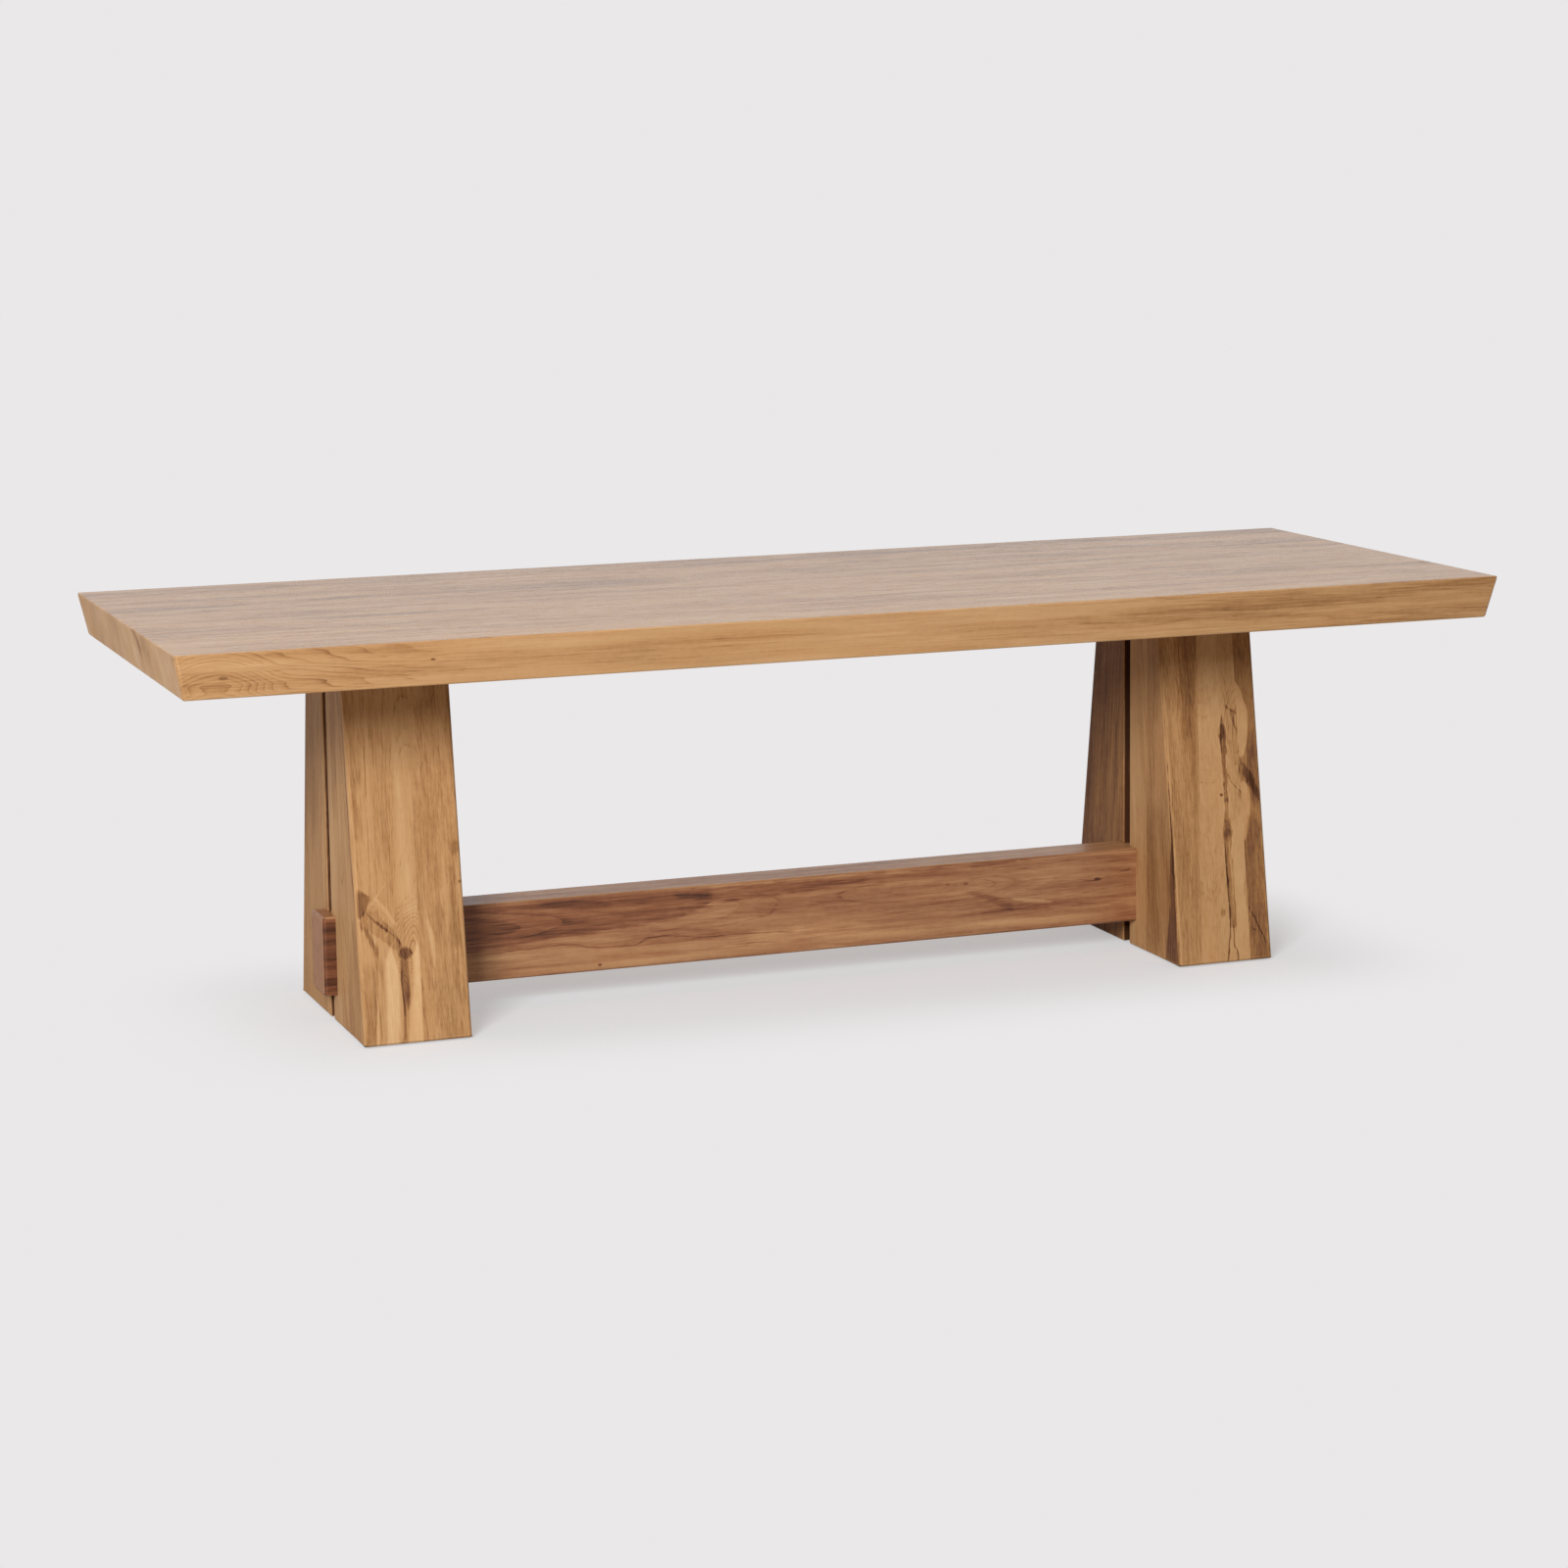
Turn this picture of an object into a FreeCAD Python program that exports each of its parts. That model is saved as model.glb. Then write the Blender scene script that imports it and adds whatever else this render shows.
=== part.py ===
"""Trestle dining table in solid oak.

The top is eight lengthwise boards with a drop edge mitred to them all round, so that it looks
like one thick slab with an undercut edge. It stands on two trestles. Each trestle is a pair of
posts with a slot between them: upright inside, leaning outside, and glued up from laminations.
One stretcher runs through both trestles, let into housings in the posts' inner sides, and shows
its end past them. Bearers, a batten, glue blocks, dowels, bolts and screws are out of sight.

Frame, in millimetres: X along the table, Y across it with the front at -Y, Z up from the floor,
origin on the floor under the middle of the top.
"""

import FreeCAD, Part
import math
import os
import Sketcher
from FreeCAD import Placement, Rotation, Vector

doc = FreeCAD.newDocument("TrestleTable")
sheet = doc.addObject("Spreadsheet::Sheet", "Sizes")

SIZES = [
    # the whole table
    ("table_length", 2600, "top, over its arrises, along X"),
    ("table_width", 950, "top, over its arrises, along Y"),
    ("table_height", 780, "floor to the top surface"),
    # the top
    ("edge_depth", 82, "height of the drop edge, from the arris to its underside"),
    ("undercut", 17, "how far the drop edge leans in from the arris to its underside"),
    ("panel_thickness", 40, "thickness of the boards of the top"),
    ("drop_thickness", 40, "thickness of the drop edge, measured level"),
    ("ease_back", 3.7, "eased arris: how far back along each face it starts"),
    ("ease_depth", 1.8, "eased arris: how much it takes off along the mitre"),
    ("corner_ease", 2, "eased corner of the drop edge: how much it takes off along the mitre"),
    ("block_leg", 60, "glue block in each corner: length of its two legs"),
    ("block_height", 36, "glue block: height below the boards"),
    # the trestles
    ("trestle_inset", 472, "end of the top to the middle of a trestle, along X"),
    ("post_width", 204, "width of a post along X"),
    ("slot_width", 26, "slot between the two posts of a trestle, along Y"),
    ("housing_depth", 33, "inner lamination of a post, and so how deep the stretcher is let in"),
    ("core_thickness", 48, "core lamination of a post, along Y"),
    ("foot_reach", 248, "middle of the trestle to the outside of a post at its foot"),
    ("head_reach", 137, "middle of the trestle to the outside of a post at its head"),
    ("post_ease", 3, "eased arris of the posts and of the stretcher"),
    ("left_joint_foot", 112, "left trestle, first joint of the face boards, at the foot"),
    ("left_joint_head", 124, "left trestle, first joint of the face boards, at the head"),
    ("right_joint_foot", 49, "right trestle, first joint of the face boards, at the foot"),
    ("right_joint_head", 86, "right trestle, first joint of the face boards, at the head"),
    ("last_joint_foot", 157, "right trestle, second joint of the face boards, at the foot"),
    ("last_joint_head", 163, "right trestle, second joint of the face boards, at the head"),
    # the stretcher
    ("stretcher_height", 150, "height of the stretcher's section"),
    ("stretcher_lift", 57, "floor to the underside of the stretcher"),
    ("stretcher_show", 25, "how far the stretcher shows past a trestle"),
    ("housing_clearance", 0.3, "room over the stretcher in its housing"),
    # bearers and batten under the top
    ("bearer_length", 760, "bearer on the heads of a trestle, along Y"),
    ("bearer_width", 190, "bearer, along X"),
    ("bearer_overhang", 8, "how far a bearer keeps its full depth past the posts"),
    ("batten_length", 760, "batten in the middle of the top, along Y"),
    ("batten_width", 100, "batten, along X"),
    ("batten_thickness", 30, "batten, and the bearers outside the posts, along Z"),
    ("end_bevel", 16, "bevel under the ends of the bearers and the batten"),
    # fasteners and pads
    ("fit", 0.05, "radial clearance of dowels, inserts and screws in their bores"),
    ("end_room", 1, "how much deeper a blind bore is than what goes in it"),
    ("bolt_play", 1, "bolt holes over the bolt, on the diameter"),
    ("screw_play", 1, "screw slots over the screw, on their width"),
    ("washer_play", 2, "recess over the washer, on its width"),
    ("dowel_diameter", 16, "beech dowels"),
    ("dowel_length", 60, "dowel between a post's head and its bearer"),
    ("dowel_bite", 36, "how deep a stretcher dowel goes into a post's core"),
    ("dowel_spread", 50, "stretcher dowels: trestle's middle to a dowel, along X"),
    ("bolt_diameter", 10, "head bolts, hexagon head"),
    ("bolt_length", 60, "head bolts, under the head"),
    ("bolt_flats", 16, "head bolts, across the flats of the head"),
    ("bolt_head_height", 6.5, "head bolts"),
    ("head_spread", 56, "trestle's middle to a post's head bolt or head dowel, along X"),
    ("washer_side", 26, "square washers under the head bolts"),
    ("washer_thickness", 3, "square washers under the head bolts"),
    ("recess_depth", 15, "recess for a bolt head and its washer in the bearer"),
    ("insert_diameter", 16, "insert nuts in the posts' heads"),
    ("insert_length", 22, "insert nuts in the posts' heads"),
    ("screw_diameter", 8, "coach screws that hold the top"),
    ("screw_length", 50, "coach screws, under the head"),
    ("screw_flats", 13, "coach screws, across the flats of the head"),
    ("screw_head_height", 5.5, "coach screws"),
    ("screw_travel", 8, "how far a screw can move along its slot with the top"),
    ("screw_spread", 64, "bearer's screws: its middle to a screw, along X"),
    ("batten_spread", 24, "batten's screws: its middle to a screw, along X"),
    ("pad_length", 184, "felt pad under a post, along X"),
    ("pad_width", 112, "felt pad under a post, along Y"),
    ("pad_height", 3, "felt pad under a post"),
    ("pad_reach", 170, "trestle's middle to the middle of a felt pad, along Y"),
]

BOARD_COUNT = 8
SCREW_SIDES = {1: -1, 2: 1, 5: -1, 6: 1}  # boards held by screws, and on which side of a member

for row, (alias, value, meaning) in enumerate(SIZES, start=1):
    sheet.set(f"A{row}", meaning)
    sheet.set(f"B{row}", str(value))
    sheet.setAlias(f"B{row}", alias)
doc.recompute()


def size(alias):
    """A driving size as a number, for the pieces that are copied into groups."""
    return float(getattr(sheet, alias))


# Lengths that follow from the driving sizes, written once as expressions.
BOARD_WIDTH = f"(Sizes.table_width / {BOARD_COUNT})"
PANEL_UNDERSIDE = "(Sizes.table_height - Sizes.panel_thickness)"
TRESTLE_TOP = "(Sizes.table_height - Sizes.edge_depth)"
LEAN = "(Sizes.undercut / Sizes.edge_depth)"
MITRE_RUN = f"(Sizes.drop_thickness + {LEAN} * Sizes.panel_thickness)"
MITRE_LENGTH = f"sqrt({MITRE_RUN}^2 + Sizes.panel_thickness^2)"
EASE_IN = f"(Sizes.ease_depth * {MITRE_RUN} / {MITRE_LENGTH})"
EASE_DOWN = f"(Sizes.ease_depth * Sizes.panel_thickness / {MITRE_LENGTH})"
FACE_LENGTH = "sqrt(Sizes.undercut^2 + Sizes.edge_depth^2)"
FACE_IN = f"(Sizes.ease_back * Sizes.undercut / {FACE_LENGTH})"
FACE_DOWN = f"(Sizes.ease_back * Sizes.edge_depth / {FACE_LENGTH})"
SLOT_HALF = "(Sizes.slot_width / 2)"
STRETCHER_HALF = f"({SLOT_HALF} + Sizes.housing_depth)"
CORE_OUTSIDE = f"({STRETCHER_HALF} + Sizes.core_thickness)"
CORE_MIDDLE = f"({STRETCHER_HALF} + Sizes.core_thickness / 2)"
POST_HEIGHT = f"({TRESTLE_TOP} - Sizes.pad_height)"
POST_LEAN = f"((Sizes.foot_reach - Sizes.head_reach) / {POST_HEIGHT})"
STRETCHER_TOP = "(Sizes.stretcher_lift + Sizes.stretcher_height)"
BEARER_THICKNESS = "(Sizes.edge_depth - Sizes.panel_thickness)"
SCREW_SEAT = f"({PANEL_UNDERSIDE} - Sizes.batten_thickness)"
BOLT_SEAT = f"({PANEL_UNDERSIDE} - Sizes.recess_depth + Sizes.washer_thickness)"
BOLT_BITE = f"(Sizes.bolt_length - ({BOLT_SEAT} - {TRESTLE_TOP}))"
HALF_LENGTH = "(Sizes.table_length / 2)"
HALF_WIDTH = "(Sizes.table_width / 2)"
HALF_SPACING = f"({HALF_LENGTH} - Sizes.trestle_inset)"
ROUGH = "10"  # how far a cutting outline runs past the wood that it cuts

parts = []


def new_body(label):
    """A named piece of its own, kept for export."""
    body = doc.addObject("PartDesign::Body", label)
    body.Label = label
    parts.append(body)
    return body


def place(body, turn=0, **offsets):
    """Stand a piece at its place: a turn about the vertical, then offsets as expressions."""
    body.Placement = Placement(Vector(), Rotation(Vector(0, 0, 1), turn))
    for axis, expression in offsets.items():
        body.setExpression(f"Placement.Base.{axis}", expression)


def sketch_on(body, plane, name, offset=None):
    """An empty sketch on one of the piece's own origin planes, moved along the plane's normal."""
    sketch = body.newObject("Sketcher::SketchObject", name)
    support = [f for f in body.Origin.OriginFeatures if f.Role == plane][0]
    sketch.AttachmentSupport = [(support, "")]
    sketch.MapMode = "FlatFace"
    if offset:
        sketch.setExpression("AttachmentOffset.Base.z", offset)
    return sketch


def pin(sketch, geometry, point, across, up):
    """Tie one point of a sketch to its two coordinates, given as expressions."""
    for kind, expression in (("DistanceX", across), ("DistanceY", up)):
        constraint = Sketcher.Constraint(kind, -1, 1, geometry, point, 1.0)
        index = sketch.addConstraint(constraint)
        sketch.setExpression(f"Constraints[{index}]", expression)


def outline(sketch, corners):
    """A closed outline of straight lines; each corner is a pair of expressions."""
    first = sketch.GeometryCount
    count = len(corners)
    ring = [
        Vector(math.cos(2 * math.pi * n / count), math.sin(2 * math.pi * n / count), 0)
        for n in range(count)
    ]
    for n in range(count):
        sketch.addGeometry(Part.LineSegment(ring[n], ring[(n + 1) % count]))
    for n in range(count):
        following = first + (n + 1) % count
        sketch.addConstraint(Sketcher.Constraint("Coincident", first + n, 2, following, 1))
    for n, (across, up) in enumerate(corners):
        pin(sketch, first + n, 1, across, up)


def rectangle(sketch, left, right, low, high):
    """A closed rectangle between four expressions."""
    outline(sketch, [(left, low), (right, low), (right, high), (left, high)])


def circles(sketch, centres, diameter):
    """Circles of one diameter around centres given as pairs of expressions."""
    for across, up in centres:
        index = sketch.addGeometry(Part.Circle(Vector(1, 1, 0), Vector(0, 0, 1), 1.0))
        pin(sketch, index, 3, across, up)
        ring = sketch.addConstraint(Sketcher.Constraint("Diameter", index, 2.0))
        sketch.setExpression(f"Constraints[{ring}]", diameter)


def pad(body, sketch, length, name, symmetric=False):
    """Wood added along the sketch's normal."""
    feature = body.newObject("PartDesign::Pad", name)
    feature.Profile = sketch
    feature.SideType = "Symmetric" if symmetric else "One side"
    feature.setExpression("Length", length)
    return feature


def pocket(body, sketch, name, depth=None, reverse=False):
    """Wood cut away, right through both ways or, with a depth, to that depth."""
    feature = body.newObject("PartDesign::Pocket", name)
    feature.Profile = sketch
    if depth is None:
        feature.SideType = "Symmetric"
        feature.Type = "ThroughAll"
    else:
        feature.Reversed = reverse
        feature.setExpression("Length", depth)
    return feature


def drill(body, plane, name, offset, centres, diameter, depth, reverse=False):
    """Blind bores of one size from a level of the piece."""
    sketch = sketch_on(body, plane, f"{name}_centres", offset)
    circles(sketch, centres, diameter)
    return pocket(body, sketch, name, depth, reverse)


def ease(body, name, width, *edges):
    """Ease the straight edges that join the given pairs of points, in the piece's own frame."""
    doc.recompute()
    base = body.Tip
    named = []
    for start, end in edges:
        for index, edge in enumerate(base.Shape.Edges, start=1):
            ends = [vertex.Point for vertex in edge.Vertexes]
            if len(ends) == 2 and any(
                (a - start).Length < 0.01 and (b - end).Length < 0.01
                for a, b in (ends, ends[::-1])
            ):
                named.append(f"Edge{index}")
    feature = body.newObject("PartDesign::Chamfer", name)
    feature.Base = (base, named)
    feature.setExpression("Size", width)
    return feature


# ---- the top ----------------------------------------------------------------------------------


def mitred_edge(half):
    """Half an outline of the boards' mitred, eased edge, from the underside up to the surface."""
    return [
        (f"{half} - {MITRE_RUN}", PANEL_UNDERSIDE),
        (f"{half} - {EASE_IN}", f"Sizes.table_height - {EASE_DOWN}"),
        (f"{half} - Sizes.ease_back", "Sizes.table_height"),
    ]


def mirrored(corners):
    """The same corners on the other side, in the order that closes an outline."""
    return [(f"-({across})", up) for across, up in reversed(corners)]


def cross_members():
    """Each cross member under the top: its middle along X and how far its screws stand off."""
    return [
        (f"-{HALF_SPACING}", "Sizes.screw_spread"),
        ("0", "Sizes.batten_spread"),
        (HALF_SPACING, "Sizes.screw_spread"),
    ]


def board_centre(index):
    """Middle of a board of the top, along Y."""
    return f"({index} - {(BOARD_COUNT - 1) / 2}) * {BOARD_WIDTH}"


def make_top_board(index):
    """One lengthwise board; the outer two are mitred along their outer edge as well."""
    body = new_body(f"top_board_{index + 1}")
    profile = sketch_on(body, "XZ_Plane", "long_profile")
    outline(profile, mitred_edge(HALF_LENGTH) + mirrored(mitred_edge(HALF_LENGTH)))
    pad(body, profile, BOARD_WIDTH, "board", symmetric=True)
    if index in (0, BOARD_COUNT - 1):
        outer = sketch_on(body, "YZ_Plane", "outer_mitre")
        out = f"({BOARD_WIDTH} / 2)"
        edge = mitred_edge(out)
        away = f"{out} + {ROUGH}"
        corners = edge + [(away, "Sizes.table_height"), (away, PANEL_UNDERSIDE)]
        if index == 0:
            corners = mirrored(corners)
        outline(outer, corners)
        pocket(body, outer, "outer_mitre_cut")
    if index in SCREW_SIDES:
        side = SCREW_SIDES[index]
        centres = [(f"{middle} + {side} * {spread}", "0") for middle, spread in cross_members()]
        bite = "Sizes.screw_length - Sizes.batten_thickness + Sizes.end_room"
        drill(body, "XY_Plane", "screw_holes", PANEL_UNDERSIDE, centres,
              "Sizes.screw_diameter + 2 * Sizes.fit", bite, reverse=True)
    place(body, y=board_centre(index))


def drop_profile(half):
    """The drop edge's section: eased arris, leaning face, underside, inner face, mitre."""
    return [
        (f"{half} - {EASE_IN}", f"Sizes.table_height - {EASE_DOWN}"),
        (f"{half} - {FACE_IN}", f"Sizes.table_height - {FACE_DOWN}"),
        (f"{half} - Sizes.undercut", TRESTLE_TOP),
        (f"{half} - Sizes.undercut - Sizes.drop_thickness", TRESTLE_TOP),
        (f"{half} - {MITRE_RUN}", PANEL_UNDERSIDE),
    ]


def ease_corners(body, plane):
    """Ease the two leaning corners of a drop edge, cut along their own slope."""
    for side in (-1, 1):
        sketch = sketch_on(body, "XY_Plane", f"corner_easing_{side + 1}", TRESTLE_TOP)
        far = f"(sqrt(2) * Sizes.corner_ease + {ROUGH})"
        corners = [(far, f"-{ROUGH}"), (f"-{ROUGH}", f"-{ROUGH}"), (f"-{ROUGH}", far)]
        along, across = (side, 1) if plane == "YZ_Plane" else (1, side)
        outline(sketch, [
            (f"{along} * ({HALF_LENGTH} - Sizes.undercut - {x})",
             f"{across} * ({HALF_WIDTH} - Sizes.undercut - {y})")
            for x, y in corners
        ])
        cut = pocket(body, sketch, f"corner_easing_cut_{side + 1}")
        cut.UseCustomVector = True
        cut.setExpression("Direction.x", f"{along} * Sizes.undercut")
        cut.setExpression("Direction.y", f"{across} * Sizes.undercut")
        cut.setExpression("Direction.z", "Sizes.edge_depth")


def make_drop_edge(label, plane, half, length, turn):
    """A drop edge, padded from its section and mitred in plan to its two neighbours."""
    body = new_body(label)
    profile = sketch_on(body, plane, "section")
    outline(profile, drop_profile(half))
    pad(body, profile, length, "edge", symmetric=True)
    mitres = sketch_on(body, "XY_Plane", "corner_mitres")
    deep = f"(Sizes.undercut + Sizes.drop_thickness + {ROUGH})"
    for side in ("", "-"):
        tip = (half, f"{side}({length} / 2)")
        level = (f"{half} - {deep}", f"{side}({length} / 2)")
        inner = (f"{half} - {deep}", f"{side}({length} / 2 - {deep})")
        if plane == "YZ_Plane":
            outline(mitres, [corner[::-1] for corner in (tip, level, inner)])
        else:
            outline(mitres, [tip, level, inner])
    pocket(body, mitres, "corner_mitre_cuts")
    ease_corners(body, plane)
    place(body, turn)


def make_glue_block(label, turn, along, across):
    """A three-cornered block that leans with the drop edges, glued into a corner of the top."""
    body = new_body(label)
    levels = (PANEL_UNDERSIDE, f"({PANEL_UNDERSIDE} - Sizes.block_height)")
    sketches = []
    for number, level in enumerate(levels):
        sketch = sketch_on(body, "XY_Plane", f"block_outline_{number}", level)
        inset = f"(Sizes.drop_thickness + {LEAN} * (Sizes.table_height - {level}))"
        corner_x = f"({along} - {inset})"
        corner_y = f"({across} - {inset})"
        outline(sketch, [
            (corner_x, corner_y),
            (f"{corner_x} - Sizes.block_leg", corner_y),
            (corner_x, f"{corner_y} - Sizes.block_leg"),
        ])
        sketches.append(sketch)
    loft = body.newObject("PartDesign::AdditiveLoft", "block")
    loft.Profile = sketches[0]
    loft.Sections = sketches[1:]
    loft.Ruled = True
    place(body, turn)


def make_cross_member(label, length, width, spread, middle_profile=()):
    """A member across the boards, with bevelled ends and a slot for each of its screws."""
    body = new_body(label)
    half = f"({length} / 2)"
    side = [*middle_profile] + [
        (f"{half} - Sizes.end_bevel", SCREW_SEAT),
        (half, f"{SCREW_SEAT} + Sizes.end_bevel"),
        (half, PANEL_UNDERSIDE),
    ]
    profile = sketch_on(body, "YZ_Plane", "side_profile")
    outline(profile, side + mirrored(side))
    pad(body, profile, width, "member", symmetric=True)
    slots = sketch_on(body, "XY_Plane", "screw_slots")
    across = "(Sizes.screw_diameter + Sizes.screw_play) / 2"
    along = f"({across} + Sizes.screw_travel / 2)"
    for index, screw_side in SCREW_SIDES.items():
        x = f"{screw_side} * {spread}"
        y = board_centre(index)
        rectangle(slots, f"{x} - {across}", f"{x} + {across}", f"{y} - {along}", f"{y} + {along}")
    pocket(body, slots, "screw_slot_cuts")
    return body


def head_points(side):
    """A post's fastener in the head of each post of a trestle, the two turned half round."""
    return [
        (f"{side} * Sizes.head_spread", f"-{CORE_MIDDLE}"),
        (f"{-side} * Sizes.head_spread", CORE_MIDDLE),
    ]


def make_bearer(label, middle):
    """The bearer that joins the heads of a trestle's posts and carries the top."""
    shoulder = "(Sizes.head_reach + Sizes.bearer_overhang)"
    step = f"({SCREW_SEAT} - {TRESTLE_TOP})"
    over_posts = [(shoulder, TRESTLE_TOP), (f"{shoulder} + {step}", SCREW_SEAT)]
    body = make_cross_member(label, "Sizes.bearer_length", "Sizes.bearer_width",
                             "Sizes.screw_spread", over_posts)
    recesses = sketch_on(body, "XY_Plane", "bolt_recesses", PANEL_UNDERSIDE)
    reach = "(Sizes.washer_side + Sizes.washer_play) / 2"
    for x, y in head_points(1):
        rectangle(recesses, f"{x} - {reach}", f"{x} + {reach}", f"{y} - {reach}", f"{y} + {reach}")
    pocket(body, recesses, "bolt_recess_cuts", "Sizes.recess_depth")
    drill(body, "XY_Plane", "bolt_holes", PANEL_UNDERSIDE, head_points(1),
          "Sizes.bolt_diameter + Sizes.bolt_play", BEARER_THICKNESS)
    drill(body, "XY_Plane", "dowel_bores", TRESTLE_TOP, head_points(-1),
          "Sizes.dowel_diameter + 2 * Sizes.fit", "Sizes.dowel_length / 2 + Sizes.end_room",
          reverse=True)
    place(body, x=middle)


def make_top():
    """Boards, drop edges, glue blocks and the batten."""
    for index in range(BOARD_COUNT):
        make_top_board(index)
    make_drop_edge("drop_edge_front", "YZ_Plane", HALF_WIDTH, "Sizes.table_length", 180)
    make_drop_edge("drop_edge_back", "YZ_Plane", HALF_WIDTH, "Sizes.table_length", 0)
    make_drop_edge("drop_edge_left", "XZ_Plane", HALF_LENGTH, "Sizes.table_width", 180)
    make_drop_edge("drop_edge_right", "XZ_Plane", HALF_LENGTH, "Sizes.table_width", 0)
    make_glue_block("glue_block_back_right", 0, HALF_LENGTH, HALF_WIDTH)
    make_glue_block("glue_block_back_left", 90, HALF_WIDTH, HALF_LENGTH)
    make_glue_block("glue_block_front_left", 180, HALF_LENGTH, HALF_WIDTH)
    make_glue_block("glue_block_front_right", 270, HALF_WIDTH, HALF_LENGTH)
    batten = make_cross_member("middle_batten", "Sizes.batten_length", "Sizes.batten_width",
                               "Sizes.batten_spread")
    place(batten)


# ---- the trestles -----------------------------------------------------------------------------


def make_face_board(label, left, right):
    """One of the thick outer boards of a post; the glued-up face leans from foot to head.

    left and right are the board's sides, each as its distance from the post's side at the
    foot and at the head.
    """
    body = new_body(label)
    side = "(Sizes.post_width / 2)"
    face = sketch_on(body, "XZ_Plane", "face_outline", CORE_OUTSIDE)
    outline(face, [
        (f"{left[0]} - {side}", "Sizes.pad_height"),
        (f"{right[0]} - {side}", "Sizes.pad_height"),
        (f"{right[1]} - {side}", TRESTLE_TOP),
        (f"{left[1]} - {side}", TRESTLE_TOP),
    ])
    pad(body, face, f"Sizes.foot_reach - {CORE_OUTSIDE}", "board")
    lean = sketch_on(body, "YZ_Plane", "lean")
    outline(lean, [
        ("-(Sizes.foot_reach - Sizes.post_ease)", "Sizes.pad_height"),
        (f"-(Sizes.foot_reach - Sizes.post_ease * {POST_LEAN})",
         "Sizes.pad_height + Sizes.post_ease"),
        ("-Sizes.head_reach", TRESTLE_TOP),
        (f"-(Sizes.foot_reach + {ROUGH})", TRESTLE_TOP),
        (f"-(Sizes.foot_reach + {ROUGH})", "Sizes.pad_height"),
    ])
    pocket(body, lean, "lean_cut")
    return body


def ease_post_side(body, side):
    """Ease the leaning arris of a post on one side, -1 or 1 along X."""
    x = side * size("post_width") / 2
    foot = size("pad_height") + size("post_ease")
    head = size("table_height") - size("edge_depth")
    rise = head - size("pad_height")
    slope = (size("foot_reach") - size("head_reach")) / rise
    start = Vector(x, -(size("foot_reach") - size("post_ease") * slope), foot)
    end = Vector(x, -size("head_reach"), head)
    ease(body, f"eased_arris_{side + 1}", "Sizes.post_ease", (start, end))


def make_core(label):
    """The straight middle lamination of a post, bored for dowels, bolts and their inserts."""
    body = new_body(label)
    section = sketch_on(body, "XY_Plane", "section", "Sizes.pad_height")
    half = "Sizes.post_width / 2"
    rectangle(section, f"-({half})", half, f"-{CORE_OUTSIDE}", f"-{STRETCHER_HALF}")
    pad(body, section, POST_HEIGHT, "core")
    bolt, dowel = head_points(1)[:1], head_points(-1)[:1]
    drill(body, "XY_Plane", "insert_bore", TRESTLE_TOP, bolt,
          "Sizes.insert_diameter + 2 * Sizes.fit", "Sizes.insert_length")
    drill(body, "XY_Plane", "bolt_bore", TRESTLE_TOP, bolt,
          "Sizes.bolt_diameter + Sizes.bolt_play", f"{BOLT_BITE} + Sizes.end_room")
    drill(body, "XY_Plane", "head_dowel_bore", TRESTLE_TOP, dowel,
          "Sizes.dowel_diameter + 2 * Sizes.fit", "Sizes.dowel_length / 2 + Sizes.end_room")
    middle = "Sizes.stretcher_lift + Sizes.stretcher_height / 2"
    across = [(f"{side} * Sizes.dowel_spread", middle) for side in (-1, 1)]
    drill(body, "XZ_Plane", "stretcher_dowel_bores", STRETCHER_HALF, across,
          "Sizes.dowel_diameter + 2 * Sizes.fit", "Sizes.dowel_bite + Sizes.end_room", reverse=True)
    return body


def make_inner(label, low, high):
    """An inner lamination of a post, above or below the stretcher; their gap is the housing."""
    body = new_body(label)
    profile = sketch_on(body, "YZ_Plane", "profile")
    rectangle(profile, f"-{STRETCHER_HALF}", f"-{SLOT_HALF}", low, high)
    pad(body, profile, "Sizes.post_width", "lamination", symmetric=True)
    return body


def make_post(label, turn, middle, joints):
    """One post: two inner laminations, the core, and the face boards between the joints."""
    sides = [("0", "0")] + joints + [("Sizes.post_width", "Sizes.post_width")]
    pieces = []
    for number in range(len(sides) - 1):
        board = make_face_board(f"{label}_face_{number + 1}", sides[number], sides[number + 1])
        pieces.append(board)
    ease_post_side(pieces[0], -1)
    ease_post_side(pieces[-1], 1)
    pieces.append(make_core(f"{label}_core"))
    pieces.append(make_inner(f"{label}_inner_lower", "Sizes.pad_height", "Sizes.stretcher_lift"))
    over = f"{STRETCHER_TOP} + Sizes.housing_clearance"
    pieces.append(make_inner(f"{label}_inner_upper", over, TRESTLE_TOP))
    for piece in pieces:
        place(piece, turn, x=middle)


def make_trestles():
    """Two trestles of two posts; the back post of each is the front one turned round."""
    left = [("Sizes.left_joint_foot", "Sizes.left_joint_head")]
    right = [
        ("Sizes.right_joint_foot", "Sizes.right_joint_head"),
        ("Sizes.last_joint_foot", "Sizes.last_joint_head"),
    ]
    for name, middle, joints in (("left", f"-{HALF_SPACING}", left), ("right", HALF_SPACING, right)):
        make_post(f"{name}_front_post", 0, middle, joints)
        make_post(f"{name}_back_post", 180, middle, joints)
        make_bearer(f"{name}_bearer", middle)


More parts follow.
